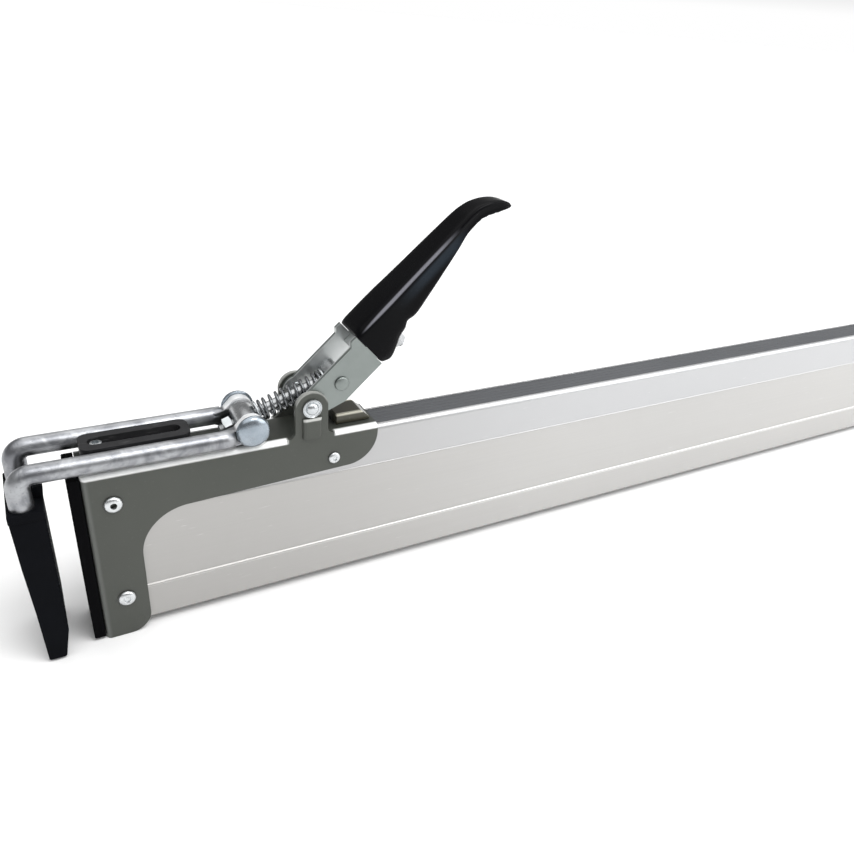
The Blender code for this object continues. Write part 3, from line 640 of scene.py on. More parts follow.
def drawnTree():
    tree = Tree("drawn section", {"Length": ("Float", 1.0), "Material": ("Material", None)})
    fill = tree.add("GeometryNodeFillCurve", {}, {"Curve": tree.input("Geometry")})
    along = tree.add("ShaderNodeCombineXYZ", {}, {"Z": tree.input("Length")})
    pull = tree.add("GeometryNodeExtrudeMesh", {"mode": "FACES"},
                    {"Mesh": fill.outputs[0], "Offset": along.outputs[0], "Offset Scale": 1.0,
                     "Individual": False})
    turnedOver = tree.add("GeometryNodeFlipFaces", {}, {"Mesh": fill.outputs[0]})
    both = tree.add("GeometryNodeJoinGeometry", {}, {})
    tree.group.links.new(pull.outputs[0], both.inputs[0])
    tree.group.links.new(turnedOver.outputs[0], both.inputs[0])
    closed = tree.add("GeometryNodeMergeByDistance", {}, {"Geometry": both.outputs[0], "Distance": 0.000004})
    tree.end(closed.outputs[0], tree.input("Material"))
    return tree


def sectionCurve(name, rings):
    curve = bpy.data.curves.new(name, "CURVE")
    curve.dimensions = "2D"
    curve.fill_mode = "NONE"
    for ring in rings:
        spline = curve.splines.new("POLY")
        spline.points.add(len(ring) - 1)
        for point, (first, second) in zip(spline.points, ring):
            point.co = (first, second, 0.0, 1.0)
        spline.use_cyclic_u = True
    return linked(name, curve)


def crossSection(x):
    # places a section drawn in (Y, Z) across the rail at x
    turn = Matrix(((0, 0, 1, 0), (1, 0, 0, 0), (0, 1, 0, 0), (0, 0, 0, 1)))
    return Matrix.Translation((x, 0, 0)) @ turn


drawn = drawnTree()
beamLow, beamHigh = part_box("beam")
beamLength = beamHigh.x - beamLow.x

beam = sectionCurve("railBeam", railProfile())
beam.matrix_world = crossSection(beamLow.x)
beam = drawn.run(beam, {"Length": beamLength, "Material": looks["rail"]})
holes = []
for label in ("upper", "lower", "tail"):
    low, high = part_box("rivet_front_" + label)
    x, z = (low.x + high.x) / 2, (low.z + high.z) / 2
    holes.append(roundBar("hole", (high.x - low.x) / 2 * 0.45, (x, -0.03, z), (x, 0.03, z), 32))
beam = cut(beam, holes)
finished(beam, "rail", "rail", ["beam"], 24)

stripLow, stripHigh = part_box("top_strip")
half = stripHigh.y
crown = stripHigh.z
stripRing = [(-half, stripLow.z), (half, stripLow.z), (half, crown - 0.0003), (half - 0.0003, crown)]
for k in range(railMake["channels"]):
    # fine channels run along the strip
    at = half - 0.0016 - k * railMake["channelPitch"]
    bed = crown - railMake["channelDepth"]
    stripRing += [(at, crown), (at - 0.0003, bed), (at - 0.0009, bed), (at - 0.0012, crown)]
stripRing += [(-half + 0.0003, crown), (-half, crown - 0.0003)]
strip = sectionCurve("railStrip", [stripRing])
strip.matrix_world = crossSection(stripLow.x)
strip = drawn.run(strip, {"Length": stripHigh.x - stripLow.x, "Material": looks["strip"]})
finished(strip, "rail", "strip", ["top_strip"], 24)


print("bracket")

bracketMake = {
    "sheet": 0.0025, "leg": 0.0247, "legCorner": 0.0120, "innerCorner": 0.0270, "arm": 0.0250,
    "armTail": 0.0212, "tailCorner": 0.0190, "bend": 0.0030, "lugWidth": 0.0192, "flare": 0.0040,
    "bossWidth": 0.0112, "bossHeight": 0.0120, "bossRise": 0.0020, "pivotBore": 0.0031,
    "screwBore": 0.0035, "edge": 0.00035, "clear": 0.001,
}
bracketLow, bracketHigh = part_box("end_bracket")
bracketStart = bracketLow.x
bracketEnd = bracketHigh.x
webTop = beamHigh.z + 0.0003 + bracketMake["sheet"]
outerFace = bracketHigh.y - bracketMake["bossRise"]
innerFace = outerFace - bracketMake["sheet"]


def bracketOutline():
    make = bracketMake
    leg = bracketStart + make["leg"]
    arm = beamHigh.z - make["arm"]
    tail = beamHigh.z - make["armTail"]
    halfLug = make["lugWidth"] / 2
    flare = make["flare"]
    ring = [(bracketStart, bracketLow.z)]
    ring += arc((leg - make["legCorner"], bracketLow.z + make["legCorner"]), make["legCorner"], -90, 0, 18)
    ring += arc((leg + make["innerCorner"], arm - make["innerCorner"]), make["innerCorner"], 180, 90, 28)
    ring += arc((bracketEnd - make["tailCorner"], tail + make["tailCorner"]), make["tailCorner"], -90, 0, 22)
    ring += [(bracketEnd, webTop)]
    ring += arc((pivot.x + halfLug + flare, webTop + flare), flare, 270, 180, 8)
    ring += arc((pivot.x, pivot.z), halfLug, 0, 180, 36)
    ring += arc((pivot.x - halfLug - flare, webTop + flare), flare, 0, -90, 8)
    ring += [(bracketStart, webTop)]
    return ring


def bendCutter(start, end, side):
    # takes the square corner off a bend along the top
    radius = bracketMake["bend"]
    middle = (outerFace - radius, webTop - radius)
    far, top = outerFace + bracketMake["clear"], webTop + bracketMake["clear"]
    ring = [(far, top), (far, middle[1])] + arc(middle, radius, 0, 90, 10) + [(middle[0], top)]
    ring = [(side * a, b) for a, b in ring]
    return outlineSolid("bendCutter", [ring], end - start, crossSection((start + end) / 2))


def cornerCutter(side):
    # takes the square corner off an upright bend at the end
    radius = bracketMake["bend"]
    middle = (bracketStart + radius, outerFace - radius)
    far, past = outerFace + bracketMake["clear"], bracketStart - bracketMake["clear"]
    ring = [(past, far), (middle[0], far)] + arc(middle, radius, 90, 180, 10) + [(past, middle[1])]
    return outlineSolid("cornerCutter", [[(a, side * b) for a, b in ring]], 0.3, Matrix())


def lugBoss(side):
    # the pressed boss low on each lug, drawn from above with soft shoulders
    make = bracketMake
    half = make["bossWidth"] / 2
    root = outerFace - 0.0008
    rise = make["bossRise"]
    right = arc((half - rise, outerFace), rise, 90, 0, 8)
    ring = [(pivot.x - a, side * b) for a, b in right] + [(pivot.x - half, side * root)]
    ring = [(pivot.x + half, side * root)] + [(pivot.x + a, side * b) for a, b in reversed(right)] + ring
    low = webTop - 0.0005
    high = webTop + make["bossHeight"]
    item = outlineSolid("lugBoss", [ring], high - low, Matrix.Translation((0, 0, (low + high) / 2)))
    return eased(item, 0.0007, 3, 50)


def buildBracket():
    item = outlineSolid("endBracket", [bracketOutline()], 2 * outerFace, sideView)
    cutters = [
        block("inside", (bracketStart + bracketMake["sheet"], -innerFace, -0.1),
              (bracketEnd + 0.05, innerFace, beamHigh.z + 0.0003)),
        block("above", (bracketStart - 0.02, -innerFace, webTop),
              (bracketEnd + 0.05, innerFace, webTop + 0.05)),
    ]
    reach = bracketMake["lugWidth"] / 2 + 0.0045
    for side in (front, back):
        cutters.append(bendCutter(bracketStart - 0.002, pivot.x - reach, side))
        cutters.append(bendCutter(pivot.x + reach, bracketEnd + 0.002, side))
        cutters.append(cornerCutter(side))
    cutters.append(roundBar("lugBore", bracketMake["pivotBore"], pivot + Vector((0, -0.03, 0)),
                            pivot + Vector((0, 0.03, 0)), 48))
    screw = middleOf("guide_screw")
    cutters.append(roundBar("screwBore", bracketMake["screwBore"], (screw.x, 0, webTop - 0.006),
                            (screw.x, 0, webTop + 0.006), 40))
    item = cut(item, cutters)
    item = cut(item, [lugBoss(front), lugBoss(back)], "UNION")
    return eased(item, bracketMake["edge"], 2, 40)


finished(buildBracket(), "rail", "coat", ["end_bracket"])


# rivets: one turned head is set on every spot by a tree, a mesh for each body
def rivetTree():
    tree = Tree("set rivets", {"Head": ("Object", None), "Seed": ("Int", 7), "Dents": ("Float", 0.00006),
                               "Material": ("Material", None)})
    head = tree.add("GeometryNodeObjectInfo", {"transform_space": "ORIGINAL"}, {"Object": tree.input("Head")})
    turn = tree.add("GeometryNodeInputNamedAttribute", {"data_type": "FLOAT_VECTOR"}, {"Name": "turn"})
    size = tree.add("GeometryNodeInputNamedAttribute", {"data_type": "FLOAT_VECTOR"}, {"Name": "size"})
    euler = tree.add("FunctionNodeEulerToRotation", {}, {"Euler": turn.outputs[0]})
    spin = tree.add("FunctionNodeRandomValue", {"data_type": "FLOAT"}, {2: 0.0, 3: 6.283,
                                                                         "Seed": tree.input("Seed")})
    about = tree.add("FunctionNodeAxisAngleToRotation", {}, {"Axis": (0, 0, 1), "Angle": spin.outputs[1]})
    both = tree.add("FunctionNodeRotateRotation", {"rotation_space": "LOCAL"},
                    {0: euler.outputs[0], 1: about.outputs[0]})
    placed = tree.add("GeometryNodeInstanceOnPoints", {},
                      {"Points": tree.input("Geometry"), "Instance": head.outputs["Geometry"],
                       "Rotation": both.outputs[0], "Scale": size.outputs[0]})
    real = tree.add("GeometryNodeRealizeInstances", {}, {"Geometry": placed.outputs[0]})
    ripple = tree.add("ShaderNodeTexNoise", {}, {"Scale": 700.0, "Detail": 1.0})
    centred = tree.add("ShaderNodeVectorMath", {"operation": "SUBTRACT"},
                       {0: ripple.outputs["Color"], 1: (0.5, 0.5, 0.5)})
    scaled = tree.add("ShaderNodeVectorMath", {"operation": "SCALE"},
                      {0: centred.outputs[0], "Scale": tree.input("Dents")})
    dented = tree.add("GeometryNodeSetPosition", {}, {"Geometry": real.outputs[0], "Offset": scaled.outputs[0]})
    tree.end(dented.outputs[0], tree.input("Material"))
    return tree


rivets = rivetTree()


def bothSides(spot, y):
    # the same spot on the front and the back, as setRivets takes it
    return [(Vector((spot.x, side * y, spot.z)), side, 1.0) for side in (front, back)]


def setRivets(name, head, spots, look):
    # spots are (place, outward side, size); the head is used up
    mesh = bpy.data.meshes.new(name)
    mesh.from_pydata([tuple(spot) for spot, outward, size in spots], [], [])
    turn = mesh.attributes.new("turn", "FLOAT_VECTOR", "POINT")
    scale = mesh.attributes.new("size", "FLOAT_VECTOR", "POINT")
    for k, (spot, side, size) in enumerate(spots):
        turn.data[k].vector = (-side * math.pi / 2, 0, 0)
        scale.data[k].vector = (size, size, size)
    item = linked(name, mesh)
    item = rivets.run(item, {"Head": head, "Seed": 7, "Material": looks[look]}, merge=False)
    bpy.data.objects.remove(head, do_unlink=True)
    return item


blindRivet = {"head": 0.0047, "rise": 0.0024, "mouth": 0.0016, "shank": 0.0023, "reach": 0.0060}


def blindRivetHead(name, plugDepth):
    make = blindRivet
    plug = make["rise"] - plugDepth
    profile = [(0.0, plug), (make["mouth"] * 0.55, plug), (make["mouth"] * 0.80, plug + 0.0002),
               (make["mouth"], make["rise"] - 0.0008)]
    lip = make["mouth"] + 0.0005
    profile += [(make["mouth"] + 0.0001, make["rise"] - 0.0002), (lip, make["rise"])]
    for k in range(1, 13):
        turn = math.pi / 2 * (1 - k / 12)
        radius = lip + (make["head"] - lip) * math.cos(turn)
        profile.append((radius, 0.0004 + (make["rise"] - 0.0004) * math.sin(turn)))
    profile += [(make["head"] - 0.0003, 0.0003), (make["shank"], 0.0003), (make["shank"], -make["reach"]),
                (0.0, -make["reach"])]
    return turned(name, profile, Matrix(), 48)


# the upper rivets are open, the others still hold their plug; the tail ones are smaller
for label, plugDepth, scale in (("upper", 0.0050, 1.0), ("lower", 0.0009, 1.0), ("tail", 0.0009, 0.76)):
    labelNodes = ["rivet_" + ofSide(side) + "_" + label for side in (front, back)]
    spots = []
    for side, node in zip((front, back), labelNodes):
        centre = middleOf(node)
        spots.append((Vector((centre.x, side * outerFace, centre.z)), side, scale))
    heads = setRivets(label + "Rivets", blindRivetHead(label + "Head", plugDepth), spots, "rivetZinc")
    finished(heads, "rail", "rivetZinc", labelNodes, 30)


# end pad: a moulded rubber strip with fine cross ribs on its clamping face
padMake = {"rib": 0.0030, "ribDepth": 0.0005, "edge": 0.0005}


def toothed(start, end, x, depth, pitch, outward):
    # points up a ribbed face at x; outward is the sign of X that the ribs point to
    count = max(1, round((end - start) / pitch))
    step = (end - start) / count
    points = []
    for k in range(count):
        at = start + k * step
        points += [(x, at + step * 0.16), (x, at + step * 0.72), (x - outward * depth, at + step * 0.84),
                   (x - outward * depth, at + step * 1.04 if k < count - 1 else at + step * 0.98)]
    return points


padLow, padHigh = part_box("end_pad")
padRing = [(padHigh.x, padLow.z), (padHigh.x, padHigh.z), (padLow.x + 0.0006, padHigh.z),
           (padLow.x, padHigh.z - 0.0006)]
padRing += list(reversed(toothed(padLow.z + 0.0010, padHigh.z - 0.0010, padLow.x, padMake["ribDepth"],
                                 padMake["rib"], -1)))
padRing += [(padLow.x, padLow.z + 0.0006), (padLow.x + 0.0006, padLow.z)]
pad = outlineSolid("endPad", [padRing], padHigh.y - padLow.y, sideView)
finished(eased(pad, padMake["edge"] * 0.3, 2, 60), "rail", "pad", ["end_pad"])


# stop block: cast block behind the lugs with a sloped end
blockLow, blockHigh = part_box("stop_block")
blockRing = [(blockLow.x, blockLow.z), (blockHigh.x, blockLow.z), (blockHigh.x, blockLow.z + 0.0014),
             (blockHigh.x - 0.0050, blockHigh.z - 0.0005), (blockHigh.x - 0.0062, blockHigh.z),
             (blockLow.x, blockHigh.z)]
stop = outlineSolid("stopBlock", [blockRing], blockHigh.y - blockLow.y, sideView)
finished(eased(stop, 0.0011, 4, 30), "rail", "block", ["stop_block"])


# guide screw: cheese head with a hex socket, standing in the plate's slot
screwLow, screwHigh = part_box("guide_screw")
screwAt = middleOf("guide_screw")
screwRadius = (screwHigh.x - screwLow.x) / 2
rim = screwHigh.z
screwProfile = [(0.0, rim), (screwRadius - 0.0006, rim), (screwRadius - 0.0002, rim - 0.0002),
                (screwRadius, rim - 0.0006), (screwRadius, screwLow.z), (0.0, screwLow.z)]
guideScrew = turned("guideScrew", screwProfile, Matrix.Translation((screwAt.x, screwAt.y, 0)), 48)
hexRing = arc((0, 0), 0.0019, 0, 300, 5)
socket = outlineSolid("socket", [hexRing], 0.0040, Matrix.Translation((screwAt.x, screwAt.y, rim)))
finished(cut(guideScrew, [socket]), "rail", "zinc", ["guide_screw"], 28)


print("jaw")

barMake = {"radius": 0.0050, "legRadius": 0.0056, "bend": 0.0068, "eye": 0.0078, "eyeThick": 0.0052,
           "eyeInner": 0.00965, "neck": 0.0102, "journal": 0.0052}


def buildBar(side):
    # round bar, a little thicker down the leg, its end pressed flat and drilled
    make = barMake
    node = "hook_bar_" + ofSide(side)
    low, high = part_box(node)
    y = side * (make["eyeInner"] - 0.0004 + make["radius"])
    leg = low.x + make["legRadius"]
    level = beamHigh.z + 0.0097
    neck = trunnion.x - make["neck"]
    points = [(leg, y, low.z + (level - make["bend"] - low.z) * k / 8) for k in range(8)]
    swell = [make["legRadius"] / make["radius"]] * 8
    for k, (x, z) in enumerate(arc((leg + make["bend"], level - make["bend"]), make["bend"], 180, 90, 26)):
        points.append((x, y, z))
        swell.append(1 + (swell[0] - 1) * (1 - k / 26))
    last = points[-1][0]
    points += [(last + (neck - last) * k / 20, y, level) for k in range(1, 21)]
    swell += [1.0] * 20
    bar = sweptBar("hookBar" + ofSide(side).title(), points, make["radius"], 14, swell)
    # rolled and dipped bar is never quite true: a slow swell along it
    for vertex in bar.data.vertices:
        out = vertex.co - Vector((vertex.co.x, y, level))
        if vertex.co.x > leg + make["bend"] and 0 < out.length:
            wave = noise.noise(Vector((vertex.co.x * 60, out.y * 120 + side, out.z * 120)))
            vertex.co += out.normalized() * 0.00009 * wave
    ring = [(neck - 0.0040, level - 0.0034), (neck + 0.0010, level - 0.0046)]
    ring += arc((trunnion.x, trunnion.z), make["eye"], -115, 118, 44)
    ring += [(neck + 0.0010, level + 0.0046), (neck - 0.0040, level + 0.0034)]
    middle = side * (make["eyeInner"] + make["eyeThick"] / 2)
    eye = outlineSolid("eye", [ring], make["eyeThick"], Matrix.Translation((0, middle, 0)) @ sideView)
    bar = cut(bar, [eased(eye, 0.0007, 3, 50)], "UNION")
    bore = roundBar("bore", make["journal"], (trunnion.x, y - 0.02, trunnion.z),
                    (trunnion.x, y + 0.02, trunnion.z), 48)
    bar = cut(bar, [bore])
    return finished(bar, "jaw", "bar", [node], 38)


buildBar(front)
buildBar(back)

plateLow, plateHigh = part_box("guide_plate")
plateMake = {"corner": 0.0050, "slot": 0.0072, "margin": 0.0042, "edge": 0.0006}


def buildGuidePlate():
    make = plateMake
    outer = roundedRing((plateLow.x, -plateHigh.y), (plateHigh.x, plateHigh.y), make["corner"], 12)
    narrow = make["slot"] / 2
    hole = arc((plateLow.x + make["margin"] + narrow, 0), narrow, 90, 270, 24)
    hole += arc((plateHigh.x - make["margin"] - narrow, 0), narrow, 270, 450, 24)
    place = Matrix.Translation((0, 0, (plateLow.z + plateHigh.z) / 2))
    item = outlineSolid("guidePlate", [outer, hole], plateHigh.z - plateLow.z, place)
    return eased(item, make["edge"], 3, 40)


finished(buildGuidePlate(), "jaw", "black", ["guide_plate"])

# jaw shoe: a moulded rubber wedge on the two bar legs
shoeMake = {"rimHeight": 0.0048, "rimProud": 0.0006, "rib": 0.0036, "ribDepth": 0.0007, "edge": 0.0010,
            "flankDish": 0.0006, "gap": 0.0116}


def buildShoe():
    low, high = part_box("jaw_shoe")
    make = shoeMake
    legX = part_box("hook_bar_front")[0].x + barMake["legRadius"]
    faceX = -make["gap"]
    top = beamHigh.z - 0.0075
    foot = low.z
    toe = faceX - 0.0032
    outerTop = legX - barMake["legRadius"] - 0.0012
    ring = [(faceX - 0.0119, foot + 0.0006), (faceX - 0.0113, foot), (toe - 0.0006, foot), (toe, foot + 0.0008),
            (faceX, foot + 0.0176)]
    ring += toothed(foot + 0.0190, top - 0.0080, faceX, make["ribDepth"], make["rib"], 1)
    ring += [(faceX, top - 0.0010), (faceX - 0.0008, top), (outerTop + 0.0008, top), (outerTop, top - 0.0010)]
    ring += [(legX - 0.0063, top - 0.0140), (legX - 0.0056, beamLow.z + 0.060),
             (legX - 0.0038, beamLow.z + 0.030)]
    width = high.y - low.y
    item = outlineSolid("jawShoe", [ring], width - 0.0012, sideView)
    rimLow = top - make["rimHeight"]
    rimX = outerTop - make["rimProud"] * 0.3
    rimRing = [(rimX, rimLow), (faceX + 0.0002, rimLow), (faceX + 0.0002, top + 0.0001), (rimX, top + 0.0001)]
    rimSolid = eased(outlineSolid("rim", [rimRing], width, sideView), 0.0006, 2, 50)
    lipX = legX + barMake["legRadius"] + 0.0003
    lipTop = beamHigh.z - 0.0010
    lipRing = [(lipX, top - 0.0030), (faceX + 0.0003, top - 0.0030), (faceX + 0.0012, lipTop - 0.0010),
               (faceX + 0.0004, lipTop), (lipX + 0.0008, lipTop), (lipX, lipTop - 0.0008)]
    lip = eased(outlineSolid("lip", [lipRing], 0.0167, sideView), 0.0005, 2, 40)
    item = cut(item, [rimSolid, lip], "UNION")
    sockets = []
    for side in (front, back):
        y = middleOf("hook_bar_" + ofSide(side)).y
        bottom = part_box("hook_bar_front")[0].z - 0.0003
        sockets.append(roundBar("socket", barMake["legRadius"] + 0.0002, (legX, y, bottom),
                                (legX, y, top + 0.03), 48))
    item = cut(item, sockets)
    item = eased(item, make["edge"] * 0.6, 3, 55)
    # the flanks draw in a little as the moulding cools
    for vertex in item.data.vertices:
        share = (vertex.co.z - foot) / (top - foot)
        dish = make["flankDish"] * math.sin(math.pi * min(max(share, 0), 1))
        if abs(vertex.co.y) > width / 2 - 0.003:
            vertex.co.y -= math.copysign(dish, vertex.co.y)
    return item


finished(buildShoe(), "jaw", "shoe", ["jaw_shoe"])


print("draw link")

linkMake = {
    "barrel": 0.0070, "journal": 0.0050, "cap": 0.0090, "capHeight": 0.0050, "rod": 0.0030,
    "cross": 0.0055, "tail": 0.0152, "pitch": 0.0007, "thread": 0.00028, "washer": 0.0066,
    "washerThick": 0.0012, "wire": 0.0009, "coil": 0.0063, "turns": 11.0,
}


def buildTrunnion():
    make = linkMake
    low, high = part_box("trunnion")
    barrel = barMake["eyeInner"] - 0.0003
    reach = high.y
    soft = 0.0005
    profile = [(0.0, reach), (make["journal"], reach), (make["journal"], barrel)]
    profile += list(reversed(arc((make["barrel"] - soft, barrel - soft), soft, 0, 90, 3)))
    profile += [(radius, -height) for radius, height in reversed(profile)]
    item = turned("trunnionBarrel", profile, facing(trunnion, back), 64)
    reachOut = rodDirection * 0.02
    bore = roundBar("bore", make["rod"] + 0.0003, trunnion - reachOut, trunnion + reachOut, 40)
    return cut(item, [bore])


finished(buildTrunnion(), "draw_link", "dullZinc", ["trunnion"], 32)


def capHead():
    # push-on cap: a high dome over a short turned band
    make = linkMake
    depth = 0.0024
    profile = [(0.0, make["capHeight"])]
    for k in range(1, 15):
        turn = math.pi / 2 * (1 - k / 15)
        profile.append((make["cap"] * math.cos(turn), 0.0014 + (make["capHeight"] - 0.0014) * math.sin(turn)))
    profile += [(make["cap"], 0.0014), (make["cap"] + 0.0002, 0.0011), (make["cap"] + 0.0002, 0.0003),
                (make["cap"] - 0.0002, 0.0), (make["journal"] + 0.0003, 0.0), (make["journal"] + 0.0003, depth),
                (0.0, depth)]
    return turned("capHead", profile, Matrix(), 64)


capBase = barMake["eyeInner"] + barMake["eyeThick"] + 0.0003
caps = setRivets("trunnionCaps", capHead(), bothSides(trunnion, capBase), "capZinc")
finished(caps, "draw_link", "capZinc", ["trunnion_cap_front", "trunnion_cap_back"], 30)


def buildRod():
    # threaded towards the nut, plain inside the spring, with a turned crosshead
    make = linkMake
    top = rodLength - make["cross"] * 0.4
    profile = [(0.0, top), (make["rod"], top), (make["rod"], 0.0080)]
    height = 0.0080
    bottom = -make["tail"]
    while height - make["pitch"] > bottom + 0.0008:
        profile += [(make["rod"] - make["thread"], height - make["pitch"] * 0.35),
                    (make["rod"] - make["thread"], height - make["pitch"] * 0.50),
                    (make["rod"], height - make["pitch"] * 0.85), (make["rod"], height - make["pitch"])]
        height -= make["pitch"]
    profile += [(make["rod"] - 0.0007, bottom), (0.0, bottom)]
    item = turned("drawRod", profile, rodPlace, 40)
    halfCross = 0.0097
    soft = 0.0005
    crossProfile = [(0.0, halfCross), (make["cross"] - soft, halfCross), (make["cross"], halfCross - soft),
                    (make["cross"], -halfCross + soft), (make["cross"] - soft, -halfCross), (0.0, -halfCross)]
    cross = turned("cross", crossProfile, facing(linkPin, back), 48)
    return cut(item, [cross], "UNION")


finished(buildRod(), "draw_link", "dullZinc", ["draw_rod"], 30)


def buildWasher(name, distance, nodeName):
    make = linkMake
    bore = make["rod"] + 0.0003
    far = distance + make["washerThick"]
    soft = 0.00025
    profile = [(bore, far), (make["washer"] - soft, far), (make["washer"], far - soft),
               (make["washer"], distance + soft), (make["washer"] - soft, distance), (bore, distance)]
    item = turned(name, profile, rodPlace, 48, ring=True)
    return finished(item, "draw_link", "zinc", [nodeName], 30)


nearSeat = linkMake["barrel"] + 0.0003
farSeat = rodLength - linkMake["cross"] - 0.0003 - linkMake["washerThick"]
buildWasher("springWasherNear", nearSeat, "spring_washer_near")
buildWasher("springWasherFar", farSeat, "spring_washer_far")


def springTree():
    tree = Tree("clamp spring", {
        "Turns": ("Float", 11.0), "Coil Radius": ("Float", 0.0054), "Wire Radius": ("Float", 0.0009),
        "Start": ("Float", 0.0), "Length": ("Float", 0.03), "Closed Turns": ("Float", 0.9),
        "Sides": ("Int", 14), "Material": ("Material", None)})
    coil = tree.add("GeometryNodeCurveSpiral", {}, {
        "Resolution": 36, "Rotations": tree.input("Turns"), "Start Radius": tree.input("Coil Radius"),
        "End Radius": tree.input("Coil Radius"), "Height": 1.0})
    share = tree.add("GeometryNodeSplineParameter", {}, {})

    def maths(kind, first, second=0.0, clamp=False):
        made = tree.add("ShaderNodeMath", {"operation": kind, "use_clamp": clamp}, {0: first, 1: second})
        return made.outputs[0]

    # the end turns lie closed and the rest climb evenly between them
    closedShare = maths("DIVIDE", tree.input("Closed Turns"), tree.input("Turns"))
    climb = maths("DIVIDE", maths("SUBTRACT", share.outputs["Factor"], closedShare),
                  maths("SUBTRACT", 1.0, maths("MULTIPLY", closedShare, 2.0)), True)
    thick = maths("MULTIPLY", tree.input("Wire Radius"), 2.0)
    lead = maths("DIVIDE", share.outputs["Factor"], closedShare, True)
    trail = maths("DIVIDE", maths("SUBTRACT", share.outputs["Factor"], maths("SUBTRACT", 1.0, closedShare)),
                  closedShare, True)
    seat = maths("MULTIPLY", maths("ADD", lead, trail), maths("MULTIPLY", thick, 0.55))
    free = maths("SUBTRACT", tree.input("Length"), maths("MULTIPLY", thick, 1.1))
    height = maths("ADD", tree.input("Start"), maths("ADD", seat, maths("MULTIPLY", climb, free)))
    place = tree.add("GeometryNodeInputPosition", {}, {})
    parts = tree.add("ShaderNodeSeparateXYZ", {}, {0: place.outputs[0]})
    spot = tree.add("ShaderNodeCombineXYZ", {}, {"X": parts.outputs[0], "Y": parts.outputs[1], "Z": height})
    moved = tree.add("GeometryNodeSetPosition", {}, {"Geometry": coil.outputs[0], "Position": spot.outputs[0]})
    section = tree.add("GeometryNodeCurvePrimitiveCircle", {},
                       {"Resolution": tree.input("Sides"), "Radius": tree.input("Wire Radius")})
    wire = tree.add("GeometryNodeCurveToMesh", {},
                    {"Curve": moved.outputs[0], "Profile Curve": section.outputs[0], "Fill Caps": True})
    tree.end(wire.outputs[0], tree.input("Material"))
    return tree


springStart = nearSeat + linkMake["washerThick"] + 0.0003 + linkMake["wire"]
springEnd = farSeat - 0.0003 - linkMake["wire"]
spring = linked("clampSpring", bpy.data.meshes.new("clampSpring"))
spring.matrix_world = rodPlace
spring = springTree().run(spring, {
    "Turns": linkMake["turns"], "Coil Radius": linkMake["coil"] - linkMake["wire"],
    "Wire Radius": linkMake["wire"], "Start": springStart, "Length": springEnd - springStart,
    "Material": looks["spring"]})
finished(spring, "draw_link", "spring", ["clamp_spring"], 50)


def buildNut():
    # hexagon with both faces chamfered by a turned cone, and a plain bore chamfered at both ends
    flats = 0.0100
    thick = 0.0048
    corner = flats / math.sqrt(3)
    hexagon = arc((0, 0), corner, 0, 300, 5)
    place = rodPlace @ Matrix.Translation((0, 0, -nearSeat - thick / 2))
    body = outlineSolid("adjustingNut", [hexagon], thick, place)
    chamfer = [(0.0, thick / 2), (flats / 2 - 0.0001, thick / 2), (corner + 0.0002, thick / 2 - 0.0006),
               (corner + 0.0002, -thick / 2 + 0.0006), (flats / 2 - 0.0001, -thick / 2), (0.0, -thick / 2)]
    cone = turned("cone", chamfer, place, 64)
    body = cut(body, [cone], "INTERSECT")
    bore = [(0.0, thick), (0.0036, thick), (0.0036, thick / 2), (0.0031, thick / 2 - 0.0005)]
    bore += [(0.0031, -thick / 2 + 0.0005), (0.0036, -thick / 2), (0.0036, -thick), (0.0, -thick)]
    return cut(body, [turned("bore", bore, place, 48)])


finished(buildNut(), "nut", "zinc", ["adjusting_nut"], 30)


print("lever")

cheekMake = {"thick": 0.0025, "length": 0.0450, "above": 0.0070, "below": 0.0145, "step": 0.0096,
             "tongueEnd": 0.0570, "tongueLow": -0.0090, "tongueHigh": 0.0010, "edge": 0.0004}
cheekFace = beamHigh.y


def domeHead(name, radius, rise, shank, reach, foot=0.0, collar=0.0):
    # a dome, or with a collar a smaller dome standing in a dished ring
    profile = [(0.0, rise + 0.0003)]
    crown = radius - collar
    for k in range(1, 13):
        turn = math.pi / 2 * (1 - k / 13)
        profile.append((crown * math.cos(turn), 0.0007 + (rise - 0.0004) * math.sin(turn)))
    if collar:
        profile += [(crown + 0.0002, 0.0007), (radius - 0.0008, 0.0008), (radius - 0.0004, 0.0012),
                    (radius - 0.0001, 0.0011)]
    profile += [(radius, 0.0006), (radius - 0.0003, 0.0003), (shank, 0.0003), (shank, -reach)]
    if foot:
        profile += [(foot, -reach), (foot - 0.0002, -reach - 0.0010), (foot - 0.0008, -reach - 0.0014)]
        profile += [(0.0, -reach - 0.0014)]
    else:
        profile += [(0.0, -reach)]
    return turned(name, profile, Matrix(), 56)


pivotReach = outerFace - cheekFace + cheekMake["thick"] + 0.0003
pivotHead = domeHead("pivotHead", 0.0056, 0.0030, 0.0030, pivotReach, 0.0048, 0.0019)
pivots = setRivets("pivotRivets", pivotHead, bothSides(pivot, outerFace), "zinc")
finished(pivots, "pivots", "zinc", ["pivot_rivet_front", "pivot_rivet_back"], 30)

linkHead = domeHead("linkHead", 0.0042, 0.0018, 0.0024, cheekMake["thick"])
links = setRivets("linkRivets", linkHead, bothSides(linkPin, cheekFace), "cheek")
finished(links, "lever", "cheek", ["link_rivet_front", "link_rivet_back"], 30)


